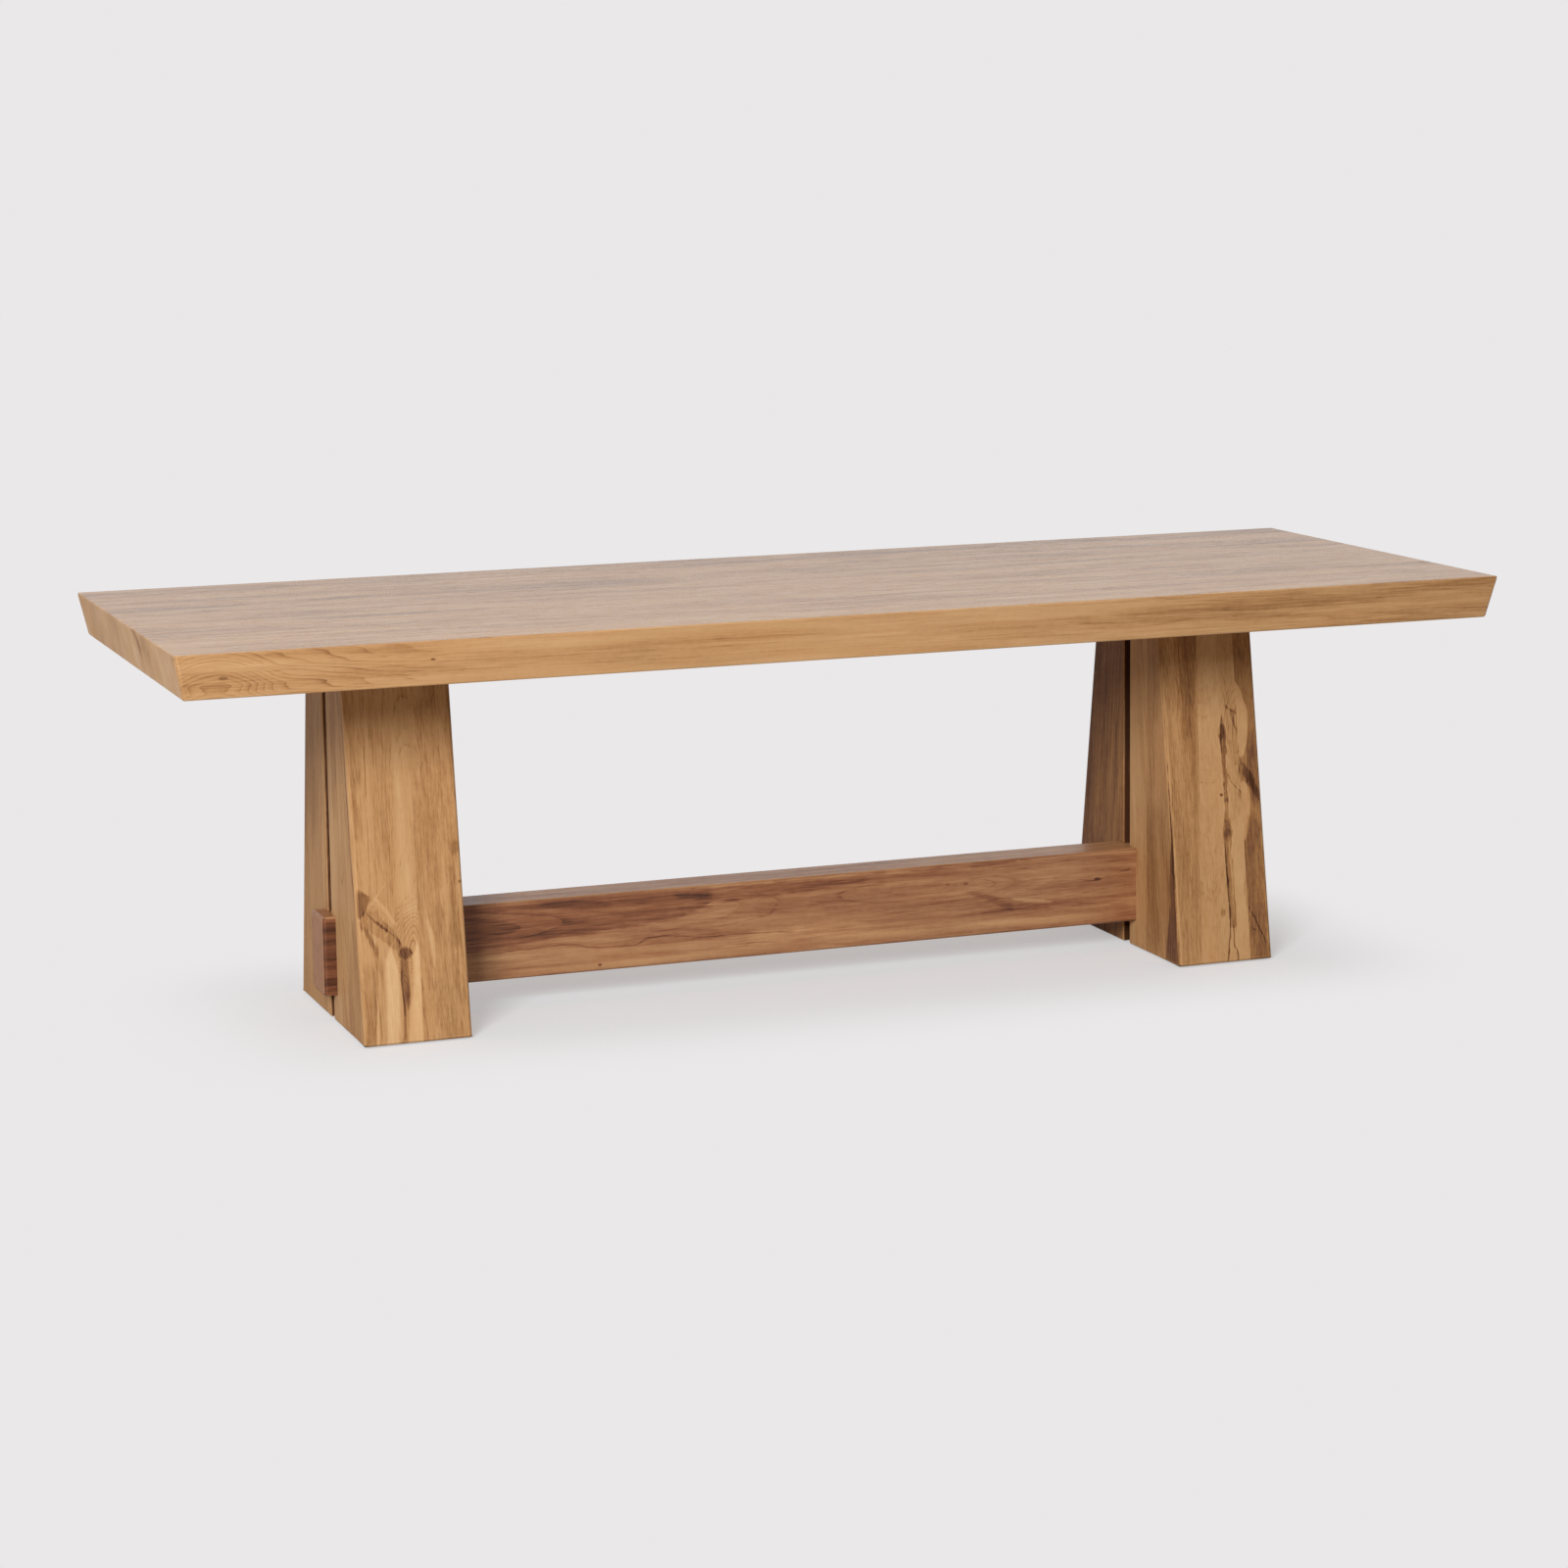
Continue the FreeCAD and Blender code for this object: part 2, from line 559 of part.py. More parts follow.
def make_stretcher():
    """The stretcher, bored for its dowels, with all its arrises eased."""
    body = new_body("stretcher")
    profile = sketch_on(body, "YZ_Plane", "profile")
    trim = "Sizes.post_ease"
    half = STRETCHER_HALF
    low = "Sizes.stretcher_lift"
    outline(profile, [
        (f"-({half} - {trim})", low),
        (f"{half} - {trim}", low),
        (half, f"{low} + {trim}"),
        (half, f"{STRETCHER_TOP} - {trim}"),
        (f"{half} - {trim}", STRETCHER_TOP),
        (f"-({half} - {trim})", STRETCHER_TOP),
        (f"-({half})", f"{STRETCHER_TOP} - {trim}"),
        (f"-({half})", f"{low} + {trim}"),
    ])
    reach = f"({HALF_SPACING} + Sizes.post_width / 2 + Sizes.stretcher_show)"
    pad(body, profile, f"2 * {reach}", "beam", symmetric=True)
    for plane, near, far in (("XZ_Plane", low, STRETCHER_TOP), ("XY_Plane", f"-{half}", half)):
        ends = sketch_on(body, plane, f"end_easing_{plane[:2]}")
        for side in ("", "-"):
            for level, inward in ((near, "+"), (far, "-")):
                outline(ends, [
                    (f"{side}({reach} - {trim})", level),
                    (f"{side}{reach}", f"{level} {inward} {trim}"),
                    (f"{side}({reach} + {ROUGH})", f"{level} {inward} {trim}"),
                    (f"{side}({reach} + {ROUGH})", level),
                ])
        pocket(body, ends, f"end_easing_cuts_{plane[:2]}")
    bores = sketch_on(body, "XZ_Plane", "dowel_bores")
    middle = "Sizes.stretcher_lift + Sizes.stretcher_height / 2"
    centres = [
        (f"{trestle} * {HALF_SPACING} + {side} * Sizes.dowel_spread", middle)
        for trestle in (-1, 1)
        for side in (-1, 1)
    ]
    circles(bores, centres, "Sizes.dowel_diameter + 2 * Sizes.fit")
    pocket(body, bores, "dowel_bore_cuts")
    place(body)


# ---- fasteners and pads -----------------------------------------------------------------------


def prism(sides, flats, low, high):
    """An upright prism on a regular outline, given across its flats."""
    radius = flats / 2 / math.cos(math.pi / sides)
    turn = math.pi / sides
    ring = [
        Vector(radius * math.cos(2 * math.pi * n / sides + turn),
               radius * math.sin(2 * math.pi * n / sides + turn), low)
        for n in range(sides + 1)
    ]
    return Part.Face(Part.makePolygon(ring)).extrude(Vector(0, 0, high - low))


def rod(diameter, low, high):
    """An upright round rod between two levels."""
    return Part.makeCylinder(diameter / 2, high - low, Vector(0, 0, low))


def group(label, solid, places):
    """Identical pieces, one at each place, as one node of separate solids."""
    copies = []
    for position in places:
        copy = solid.copy()
        copy.translate(position)
        copies.append(copy)
    feature = doc.addObject("Part::Feature", label)
    feature.Shape = Part.Compound(copies)
    feature.Placement = Placement()
    feature.Label = label
    parts.append(feature)


def make_fasteners():
    """Dowels, head bolts with their washers and insert nuts, coach screws and felt pads."""
    half_spacing = size("table_length") / 2 - size("trestle_inset")
    post_top = size("table_height") - size("edge_depth")
    underside = size("table_height") - size("panel_thickness")
    stretcher_half = size("slot_width") / 2 + size("housing_depth")
    core_middle = stretcher_half + size("core_thickness") / 2
    stretcher_middle = size("stretcher_lift") + size("stretcher_height") / 2
    trestles = (-half_spacing, half_spacing)
    signs = (-1, 1)

    through = stretcher_half + size("dowel_bite")
    dowel = rod(size("dowel_diameter"), -through, through)
    dowel.rotate(Vector(), Vector(1, 0, 0), 90)
    group("stretcher_dowels", dowel, [
        Vector(x + side * size("dowel_spread"), 0, stretcher_middle)
        for x in trestles for side in signs])

    heads = {
        kind: [
            Vector(x - side * kind * size("head_spread"), side * core_middle, 0)
            for x in trestles for side in signs
        ]
        for kind in (1, -1)
    }
    half_dowel = size("dowel_length") / 2
    dowel = rod(size("dowel_diameter"), post_top - half_dowel, post_top + half_dowel)
    group("head_dowels", dowel, heads[-1])
    insert_low = post_top - size("insert_length")
    insert = rod(size("insert_diameter"), insert_low, post_top)
    thread = rod(size("bolt_diameter") + 2 * size("fit"), insert_low, post_top)
    group("insert_nuts", insert.cut(thread), heads[1])
    washer_low = underside - size("recess_depth")
    bolt_seat = washer_low + size("washer_thickness")
    washer = prism(4, size("washer_side"), washer_low, bolt_seat)
    hole = rod(size("bolt_diameter") + size("bolt_play"), washer_low, bolt_seat)
    group("bolt_washers", washer.cut(hole), heads[1])
    shank = rod(size("bolt_diameter"), bolt_seat - size("bolt_length"), bolt_seat)
    head = prism(6, size("bolt_flats"), bolt_seat, bolt_seat + size("bolt_head_height"))
    group("head_bolts", head.fuse(shank), heads[1])

    board = size("table_width") / BOARD_COUNT
    members = [
        (-half_spacing, size("screw_spread")),
        (0, size("batten_spread")),
        (half_spacing, size("screw_spread")),
    ]
    screw_seat = underside - size("batten_thickness")
    shank = rod(size("screw_diameter"), screw_seat, screw_seat + size("screw_length"))
    head = prism(6, size("screw_flats"), screw_seat - size("screw_head_height"), screw_seat)
    group("top_screws", head.fuse(shank), [
        Vector(middle + side * spread, (index - (BOARD_COUNT - 1) / 2) * board, 0)
        for middle, spread in members for index, side in SCREW_SIDES.items()])

    half_length, half_width = size("pad_length") / 2, size("pad_width") / 2
    corner = Vector(-half_length, -half_width, 0)
    felt = Part.makeBox(size("pad_length"), size("pad_width"), size("pad_height"), corner)
    group("felt_pads", felt, [
        Vector(x, side * size("pad_reach"), 0) for x in trestles for side in signs])


# ---- build, check, write ----------------------------------------------------------------------

make_top()
make_trestles()
make_stretcher()
make_fasteners()
doc.recompute()

faults = [
    f"{item.Label}: {item.State}"
    for item in doc.Objects
    if "Invalid" in item.State or "Error" in item.State
]
faults += [
    f"{piece.Label}: bad shape"
    for piece in parts
    if piece.Shape.isNull() or not piece.Shape.isValid()
]
if faults:
    raise SystemExit("\n".join(faults))

os.makedirs("parts", exist_ok=True)
for piece in parts:
    piece.Shape.exportStep(f"parts/{piece.Label}.step")
    box = piece.Shape.BoundBox
    print(f"{piece.Label:30s} {len(piece.Shape.Solids):3d} solids {piece.Shape.Volume / 1e3:8.1f} cm3"
          f"  x {box.XMin:8.1f} {box.XMax:8.1f}  y {box.YMin:7.1f} {box.YMax:7.1f}"
          f"  z {box.ZMin:6.1f} {box.ZMax:6.1f}")
print(len(parts), "sub-parts")
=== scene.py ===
# %% [markdown]
# # A trestle dining table in solid oak
#
# The real table is a thick top with a deep mitred drop edge, carried by two trestles of leaning
# laminated posts, with one heavy stretcher clasped between them. The joiner's solids are packed
# already, so this lesson is about the surfaces: how oak is sawn out of a log, glued up, planed,
# eased at its arrises and oiled, and how each of those steps becomes a few shader nodes.
#
# Every solid is already in its place, in metres, so nothing here has to be fitted.

import math
import random

import bmesh
import bpy
from mathutils import Matrix, Vector
from mathutils.bvhtree import BVHTree


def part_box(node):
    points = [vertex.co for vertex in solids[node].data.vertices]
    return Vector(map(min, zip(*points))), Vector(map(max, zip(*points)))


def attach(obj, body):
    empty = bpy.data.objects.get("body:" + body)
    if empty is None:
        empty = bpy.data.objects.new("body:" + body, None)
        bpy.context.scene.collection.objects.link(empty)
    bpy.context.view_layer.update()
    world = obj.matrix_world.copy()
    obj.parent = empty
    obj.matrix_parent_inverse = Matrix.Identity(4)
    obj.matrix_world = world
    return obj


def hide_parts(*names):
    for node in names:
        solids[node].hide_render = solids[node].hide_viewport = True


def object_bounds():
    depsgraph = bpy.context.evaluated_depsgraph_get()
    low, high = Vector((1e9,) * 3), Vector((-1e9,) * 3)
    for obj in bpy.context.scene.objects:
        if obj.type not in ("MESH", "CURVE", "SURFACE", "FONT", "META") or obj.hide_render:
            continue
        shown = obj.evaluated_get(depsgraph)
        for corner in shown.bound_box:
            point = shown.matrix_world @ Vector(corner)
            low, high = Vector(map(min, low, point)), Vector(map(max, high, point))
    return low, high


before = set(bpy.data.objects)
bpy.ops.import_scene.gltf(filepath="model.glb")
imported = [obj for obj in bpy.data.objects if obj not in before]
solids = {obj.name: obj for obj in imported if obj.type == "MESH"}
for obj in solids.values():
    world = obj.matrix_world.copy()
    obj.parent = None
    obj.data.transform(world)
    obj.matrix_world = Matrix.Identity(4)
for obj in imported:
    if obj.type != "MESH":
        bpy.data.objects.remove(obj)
solid_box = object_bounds()
size = solid_box[1] - solid_box[0]
print(f"{len(solids)} solids, {size.x * 1000:.0f} x {size.y * 1000:.0f} x {size.z * 1000:.0f} mm")

# %% [markdown]
# ## The camera
#
# A furniture photographer stands well back with a long lens, a little above the top, so that the
# edges stay nearly parallel and the table doesn't look bent. The same is done here: 87 mm on a
# full frame, about seven metres away and 20 degrees round to the table's left. The lens is slid a
# little down on its board, so that the camera needs less tilt and the legs stay upright.
#
# The rotation is written as three turns in the order that a tripod head makes them.

# %% Stand the camera
CAMERA_PLACE = (-2.5338, -6.8614, 1.6998)
PAN, TILT, ROLL = -20.773, -8.566, -0.578  # degrees
LENS, SENSOR = 86.895, 36.0  # focal length and sensor width, in mm
LENS_SHIFT = (-0.025, -0.06875)  # to the side and down, as a share of the sensor's width

scene = bpy.context.scene
camera = bpy.data.objects.new("camera", bpy.data.cameras.new("camera"))
scene.collection.objects.link(camera)
scene.camera = camera
camera.data.lens = LENS
camera.data.sensor_width = SENSOR
camera.data.shift_x, camera.data.shift_y = LENS_SHIFT
camera.matrix_world = (
    Matrix.Translation(CAMERA_PLACE)
    @ Matrix.Rotation(math.radians(PAN), 4, "Z")
    @ Matrix.Rotation(math.radians(90 + TILT), 4, "X")
    @ Matrix.Rotation(math.radians(ROLL), 4, "Z")
)
scene.view_settings.view_transform = "Standard"
print("camera at", tuple(round(v, 2) for v in camera.location), "lens", LENS)

# %% [markdown]
# ## Two helpers
#
# Colours are picked as sRGB hex values, the way a paint card gives them. Blender mixes light in
# linear values, so one function turns the first into the second.
#
# A shader is a chain of small steps. `add` makes one step, fills in its sockets and hands back
# what comes out of it, so that a chain can be read from top to bottom like a recipe. A value that
# is itself the outcome of a step is linked, and any other value is set.

# %% Colour and node helpers
def linear(hex_colour):
    """An sRGB hex colour as Blender's linear red, green, blue and alpha."""
    parts = [int(hex_colour[i : i + 2], 16) / 255 for i in (1, 3, 5)]
    return [*(p / 12.92 if p <= 0.04045 else ((p + 0.055) / 1.055) ** 2.4 for p in parts), 1.0]


def add(tree, kind, sockets=None, take=None, **settings):
    """Adds one node with its settings and links, and returns its output, or the one to take."""
    made = tree.nodes.new("ShaderNode" + kind)
    for name, value in settings.items():
        setattr(made, name, value)
    usable = [s for s in made.inputs if s.enabled]
    for key, value in (sockets or {}).items():
        socket = usable[key] if isinstance(key, int) else next(s for s in usable if s.name == key)
        if isinstance(value, bpy.types.NodeSocket):
            tree.links.new(value, socket)
        else:
            socket.default_value = value
    outputs = [s for s in made.outputs if s.enabled]
    if take:
        return next(s for s in outputs if s.name == take)
    return outputs[0] if outputs else None


def blank_material(name):
    """A material with an empty node tree."""
    material = bpy.data.materials.new(name)
    material.use_nodes = True
    material.node_tree.nodes.clear()
    return material, material.node_tree


MM = 0.001
print("honey oak in linear values:", [round(v, 3) for v in linear("#BC9164")])

# %% [markdown]
# ## The studio
#
# Product studios use a white sweep and very soft light. As a lamp, the room is a white world, a
# little warm, weak near the horizon and stronger overhead, like walls in shade under a bright
# ceiling. What the camera and the shiny surfaces see of that room is set apart with a Light Path
# node, so the background can be pale without any more light falling on the wood.
#
# The floor is a wide pale disc. Under the table it keeps its real shadow, mixed with a plain pale
# glow, because studio floors are lit from all round and their shadows are faint. Further out it
# runs into the background without an edge.

# %% Room and floor
PALE = linear("#EAE8E9")
WALL_LIGHT, CEILING_LIGHT = 0.12, 0.66  # strength of the room as a lamp, low down and overhead
WARM_ROOM = linear("#FFF6EA")  # the room's own light is a little warmer than the lamp
FLOOR_BOUNCE = linear("#BEB8B2")  # what the floor throws back on the table
SHADOW_SHARE = 0.50  # how much of the floor's real light and shade is kept under the table
FOOTPRINT = (0.95, 0.24, 1.0)  # half the length and depth that the feet take up, in metres
SHADOW_REACH = 0.40  # metres from there to where the shadow has faded away
LAMP_COOLED = (0.945, 1.0, 1.06, 1.0)  # takes the lamp's warmth out of the floor that is seen
FLOOR_RADIUS, FLOOR_SIDES = 60.0, 96  # metres, and straight pieces in its rim
FLOOR_DROP = 0.0002  # metres, so that the floor and the pads don't share one plane


def seen_directly(tree):
    """1 for rays from the camera, from a shiny surface or through glass, and 0 for soft light."""
    total = 0.0
    for ray in ("Is Camera Ray", "Is Glossy Ray", "Is Transmission Ray"):
        total = add(
            tree, "Math", {0: add(tree, "LightPath", take=ray), 1: total}, operation="MAXIMUM"
        )
    return total


room = bpy.data.worlds.new("pale_room")
room.use_nodes = True
room.node_tree.nodes.clear()
tree = room.node_tree
upward = add(tree, "SeparateXYZ", {0: add(tree, "TexCoord", take="Generated")}, take="Z")
sockets = {"Value": upward, "To Min": WALL_LIGHT, "To Max": CEILING_LIGHT}
room_light = add(tree, "MapRange", sockets)
lamp_side = add(tree, "Background", {"Color": WARM_ROOM, "Strength": room_light})
seen_side = add(tree, "Background", {"Color": PALE, "Strength": 1.0})
whole = add(tree, "MixShader", {0: seen_directly(tree), 1: lamp_side, 2: seen_side})
add(tree, "OutputWorld", {"Surface": whole})
scene.world = room

floor_mesh = bpy.data.meshes.new("floor")
rim = [i * math.tau / FLOOR_SIDES for i in range(FLOOR_SIDES)]
floor_mesh.from_pydata(
    [(FLOOR_RADIUS * math.cos(a), FLOOR_RADIUS * math.sin(a), -FLOOR_DROP) for a in rim],
    [],
    [list(range(FLOOR_SIDES))],
)
floor = bpy.data.objects.new("floor", floor_mesh)
scene.collection.objects.link(floor)

sweep, tree = blank_material("painted_studio_floor")
corner = add(tree, "TexCoord", take="Object")
corner = add(tree, "VectorMath", {0: corner}, operation="ABSOLUTE")
corner = add(tree, "VectorMath", {0: corner, 1: FOOTPRINT}, operation="SUBTRACT")
corner = add(tree, "VectorMath", {0: corner, 1: (0.0, 0.0, 0.0)}, operation="MAXIMUM")
distance = add(tree, "VectorMath", {0: corner}, operation="LENGTH", take="Value")
sockets = {
    "Value": distance,
    "From Min": 0.0,
    "From Max": SHADOW_REACH,
    "To Min": 1.0 - SHADOW_SHARE,
    "To Max": 1.0,
}
faded = add(tree, "MapRange", sockets, interpolation_type="SMOOTHSTEP")
glow_share = add(tree, "Math", {0: seen_directly(tree), 1: faded}, operation="MULTIPLY")
sockets = {"Factor": seen_directly(tree), "A": FLOOR_BOUNCE, "B": LAMP_COOLED}
floor_paint = add(tree, "Mix", sockets, data_type="RGBA")
lit = add(tree, "BsdfDiffuse", {"Color": floor_paint, "Roughness": 0.0})
glow = add(tree, "Emission", {"Color": PALE, "Strength": 1.0})
add(tree, "OutputMaterial", {"Surface": add(tree, "MixShader", {0: glow_share, 1: lit, 2: glow})})
floor_mesh.materials.append(sweep)
print("room light", WALL_LIGHT, "to", CEILING_LIGHT, "floor radius", FLOOR_RADIUS)

# %% [markdown]
# ## The softbox
#
# One large softbox stands to the left of the camera, above head height. It gives the table a
# bright left end, a gentle fall of light to the right, and the soft shade that the top throws on
# the posts. A second lamp isn't needed, because the bright ceiling of the room fills in from above.

# %% Softbox
KEY_PLACE, KEY_AIM = (-4.8, -6.8, 3.95), (0.0, 0.0, 0.4)
KEY_SIDE, KEY_WATTS = 2.6, 660.0  # a square softbox, its side in metres


def softbox(name, place, aim, side, watts):
    """A square lamp that faces a point."""
    light = bpy.data.lights.new(name, "AREA")
    light.shape, light.size, light.energy = "SQUARE", side, watts
    lamp = bpy.data.objects.new(name, light)
    scene.collection.objects.link(lamp)
    lamp.location = place
    lamp.rotation_euler = (Vector(aim) - Vector(place)).to_track_quat("-Z", "Y").to_euler()


softbox("key_softbox", KEY_PLACE, KEY_AIM, KEY_SIDE, KEY_WATTS)

# %% [markdown]
# ## Eased arrises
#
# No joiner leaves an arris knife sharp: a pass of the block plane takes it off, so that it
# doesn't splinter or bruise. It is only done where two faces meet in the open, and never across
# a glue joint, where it would open a groove.
#
# Each solid is copied into a bmesh. The small faces of one plane are dissolved into one, and an
# edge is rounded where the space beside it is empty on both sides. That is asked of the other
# solids: a point lies in a solid if the nearest face looks away from it. The rounded faces are
# marked with an attribute, "arris", so that the oak can be paler there: a little worn, and partly
# a painted highlight along the arris.

# %% Ease the arrises
EASED = 3.5 * MM
PROBE = 1.5 * MM  # how far beside an edge another solid is looked for
CORNER_ANGLE = 0.5  # radians: an edge that turns less than this isn't an arris
SAME_PLACE, SAME_PLANE = 0.01 * MM, math.radians(0.5)  # corners and faces that are made one
ARRIS_STEPS = 3  # flat steps across a rounded arris
shown = dict(solids)  # the object that stands for each solid
trees, boxes = {}, {}
for name, solid in solids.items():
    corners = [v.co.copy() for v in solid.data.vertices]
    trees[name] = BVHTree.FromPolygons(corners, [tuple(p.vertices) for p in solid.data.polygons])
    boxes[name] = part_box(name)


def is_empty(point, own_name):
    """True where no other solid holds the point."""
    for name, (low, high) in boxes.items():
        if name != own_name and all(a < p < b for a, p, b in zip(low, point, high)):
            nearest, normal, _, _ = trees[name].find_nearest(point)
            if (point - nearest).dot(normal) < 0:
                return False
    return True


def is_free(edge, name):
    """True for an outside corner with nothing against either of its faces."""
    if len(edge.link_faces) != 2 or not edge.is_convex or edge.calc_face_angle() < CORNER_ANGLE:
        return False
    middle = (edge.verts[0].co + edge.verts[1].co) / 2
    one, two = (face.normal for face in edge.link_faces)
    beside = (one - two).normalized() * PROBE
    return is_empty(middle + beside, name) and is_empty(middle - beside, name)


def ease(name, radius):
    """Shows a copy of a solid whose free arrises are rounded."""
    solid = solids[name]
    shape = bmesh.new()
    shape.from_mesh(solid.data)
    bmesh.ops.remove_doubles(shape, verts=shape.verts, dist=SAME_PLACE)
    bmesh.ops.dissolve_limit(shape, angle_limit=SAME_PLANE, verts=shape.verts, edges=shape.edges)
    wear_and_highlight = shape.faces.layers.float.new("arris")
    free = [edge for edge in shape.edges if is_free(edge, name)]
    made = bmesh.ops.bevel(
        shape, geom=free, offset=radius, segments=ARRIS_STEPS, profile=0.5, affect="EDGES"
    )
    for face in shape.faces:
        face.smooth = False
    for face in made["faces"]:
        face[wear_and_highlight], face.smooth = 1.0, True
    mesh = bpy.data.meshes.new("eased_" + name)
    shape.to_mesh(mesh)
    shape.free()
    piece = bpy.data.objects.new("eased_" + name, mesh)
    scene.collection.objects.link(piece)
    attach(piece, "root")
    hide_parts(name)
    shown[name] = piece
    return len(free)


rounded = {}
for name in solids:
    if "_post_" in name or name == "stretcher" or name.startswith("drop_edge"):
        rounded[name] = ease(name, EASED)
print("free arrises:", rounded)

# %% [markdown]
# ## Oak: one log, one board
#
# A tree adds a ring each year. A board is a flat slice of that stack of rings, so its figure is
# not drawn on the face but follows from where the board sat in the log. The material works the
# same way. A Mapping node in TEXTURE mode puts the middle of the log, the pith, at a point beside
# the board and turns it along the grain. The distance from the pith, divided by the ring width,
# counts the years, and each year starts with a row of wide dark spring pores that fades out.
#
# - A log is never straight, so the place is first pushed about by a slow noise.
# - The pith leans to the saw cut, and that makes the pointed arches.
# - A knot lifts the year count around it, or sinks it, so that the rings close round it like
#   contour lines.
# - A streak is drawn: a few points along the board, each with its place across and half
#   its width. It darkens the wood, or lightens it, and a pale one has no year lines in it.
# - Wood cut across the grain is even in colour and duller, because its open pores drink the oil.
#
# Everything is added up to one number, the tone, from pale sapwood at 0 to bark brown at 1. One
# ramp turns it into colour, so that every knot, streak and ring stays in the oak's own range.

# %% Oak colours
OAK_SHADES = (  # place on the tone scale, colour
    (0.00, "#DFBC90"),  # sapwood
    (0.25, "#CCA578"),
    (0.50, "#BA8F62"),  # oiled heartwood
    (0.68, "#9A7047"),
    (0.84, "#755039"),
    (1.00, "#4A2E1D"),  # bark pocket
)
BROWN_OAK_SHADES = (
    (0.00, "#D8B48A"),
    (0.25, "#C0956A"),
    (0.50, "#A27350"),
    (0.68, "#865539"),
    (0.84, "#673F2B"),
    (1.00, "#46291B"),
)
GRAIN_TURN = {  # how the log's own Z axis is turned to lie along the board
    "x": (0.0, 90.0, 0.0),
    "y": (-90.0, 0.0, 0.0),
    "z": (0.0, 0.0, 0.0),
}
OAK_IOR = 1.48  # hardened oil on wood
END_GRAIN_TONE = -0.10  # on top of the board's own tone
SLOT_WALL = 13.6 * MM  # nearer than this to the middle of the trestle is the slot's wall
BOARD_PITCH = 118.75  # mm from one top board's middle to the next
# how much each pattern shifts the tone
BANDS, GOOD_YEARS, FIBRES, CURL, PORES = 0.85, 0.22, 0.38, 0.08, 0.08
# the second value darkens the walls inside each trestle's slot: painted shade, for the deep slot
# that little light reaches
ARRIS_TONE, SLOT_SHADE_TONE = -0.07, 0.40
KNOT_REACH = 4.5  # knot radii from its middle to where the rings run straight again
STRONG_KNOT = 2.5  # rings of lift, up or down, from which the rings round a knot are all seen
HEART_RIM = (1.75, 1.15)  # knot radii at which a dark heart begins and is darkest
STREAK_SHAKE = 9 * MM  # how far a drawn streak wanders from side to side
PALE_STREAK, YEARS_LOST = -0.15, 0.85  # a streak paler than this loses so much of its year lines
ALONGSIDE, SQUARE_ON = 0.7, 0.9  # how far a face looks along an axis: less than, and more than
END_CALM = 0.7  # how much of the pattern the end grain loses
WARM_TINT, COOL_TINT = (1.05, 0.985, 0.94, 1.0), (0.955, 1.0, 1.05, 1.0)


def stretched(tree, place, across, along, seed, detail=2.0, rough=0.5):
    """Noise drawn out along the grain. The two lengths are the size of one blotch, in mm."""
    scale = (1 / (across * MM), 1 / (across * MM), 1 / (along * MM))
    scaled = add(tree, "VectorMath", {0: place, 1: scale}, operation="MULTIPLY")
    sockets = {"Vector": scaled, "W": seed, "Scale": 1.0, "Detail": detail, "Roughness": rough}
    return add(tree, "TexNoise", sockets, noise_dimensions="4D")


def ramped(tree, value, start, end, low=0.0, high=1.0):
    """An S-shaped rise from low, where the value is start, to high, where it is end."""
    sockets = {"Value": value, "From Min": start, "From Max": end, "To Min": low, "To Max": high}
    return add(tree, "MapRange", sockets, interpolation_type="SMOOTHSTEP")


def weighed(tree, total, parts):
    """The total with each part added to it, times its share."""
    for part, share in parts:
        total = add(tree, "Math", {0: part, 1: share, 2: total}, operation="MULTIPLY_ADD")
    return total


def in_the_log(tree, place, grain, pith, tilt, sway, seed):
    """The place as the log has it: x and y across the log, z along it, a little pushed about."""
    turn = GRAIN_TURN[grain]
    lean = [math.radians(v) for v in (turn[0] + tilt[0], turn[1] + tilt[1], 0.0)]
    sockets = {"Vector": place, "Location": [v * MM for v in pith], "Rotation": lean}
    log = add(tree, "Mapping", sockets, vector_type="TEXTURE")
    slow = add(tree, "VectorMath", {0: log, 1: (9.0, 9.0, 1.5)}, operation="MULTIPLY")
    sockets = {"Vector": slow, "W": seed, "Scale": 1.0, "Detail": 3.0, "Roughness": 0.45}
    wander = add(tree, "TexNoise", sockets, take="Color", noise_dimensions="4D")
    wander = add(tree, "VectorMath", {0: wander, 1: (0.5, 0.5, 0.5)}, operation="SUBTRACT")
    push = (2 * sway * MM, 2 * sway * MM, 0.0)
    return add(tree, "VectorMath", {0: wander, 1: push, 2: log}, operation="MULTIPLY_ADD")


def count_years(tree, log, ring):
    """The number of rings between the pith and each place, with fat years and thin ones."""
    flat = add(tree, "VectorMath", {0: log, 1: (1.0, 1.0, 0.0)}, operation="MULTIPLY")
    radius = add(tree, "VectorMath", {0: flat}, operation="LENGTH")
    years = add(tree, "Math", {0: radius, 1: ring * MM}, operation="DIVIDE")
    uneven = add(tree, "TexNoise", {"W": years, "Scale": 0.4, "Detail": 1.0}, noise_dimensions="1D")
    return weighed(tree, years, [(uneven, 4.0)])


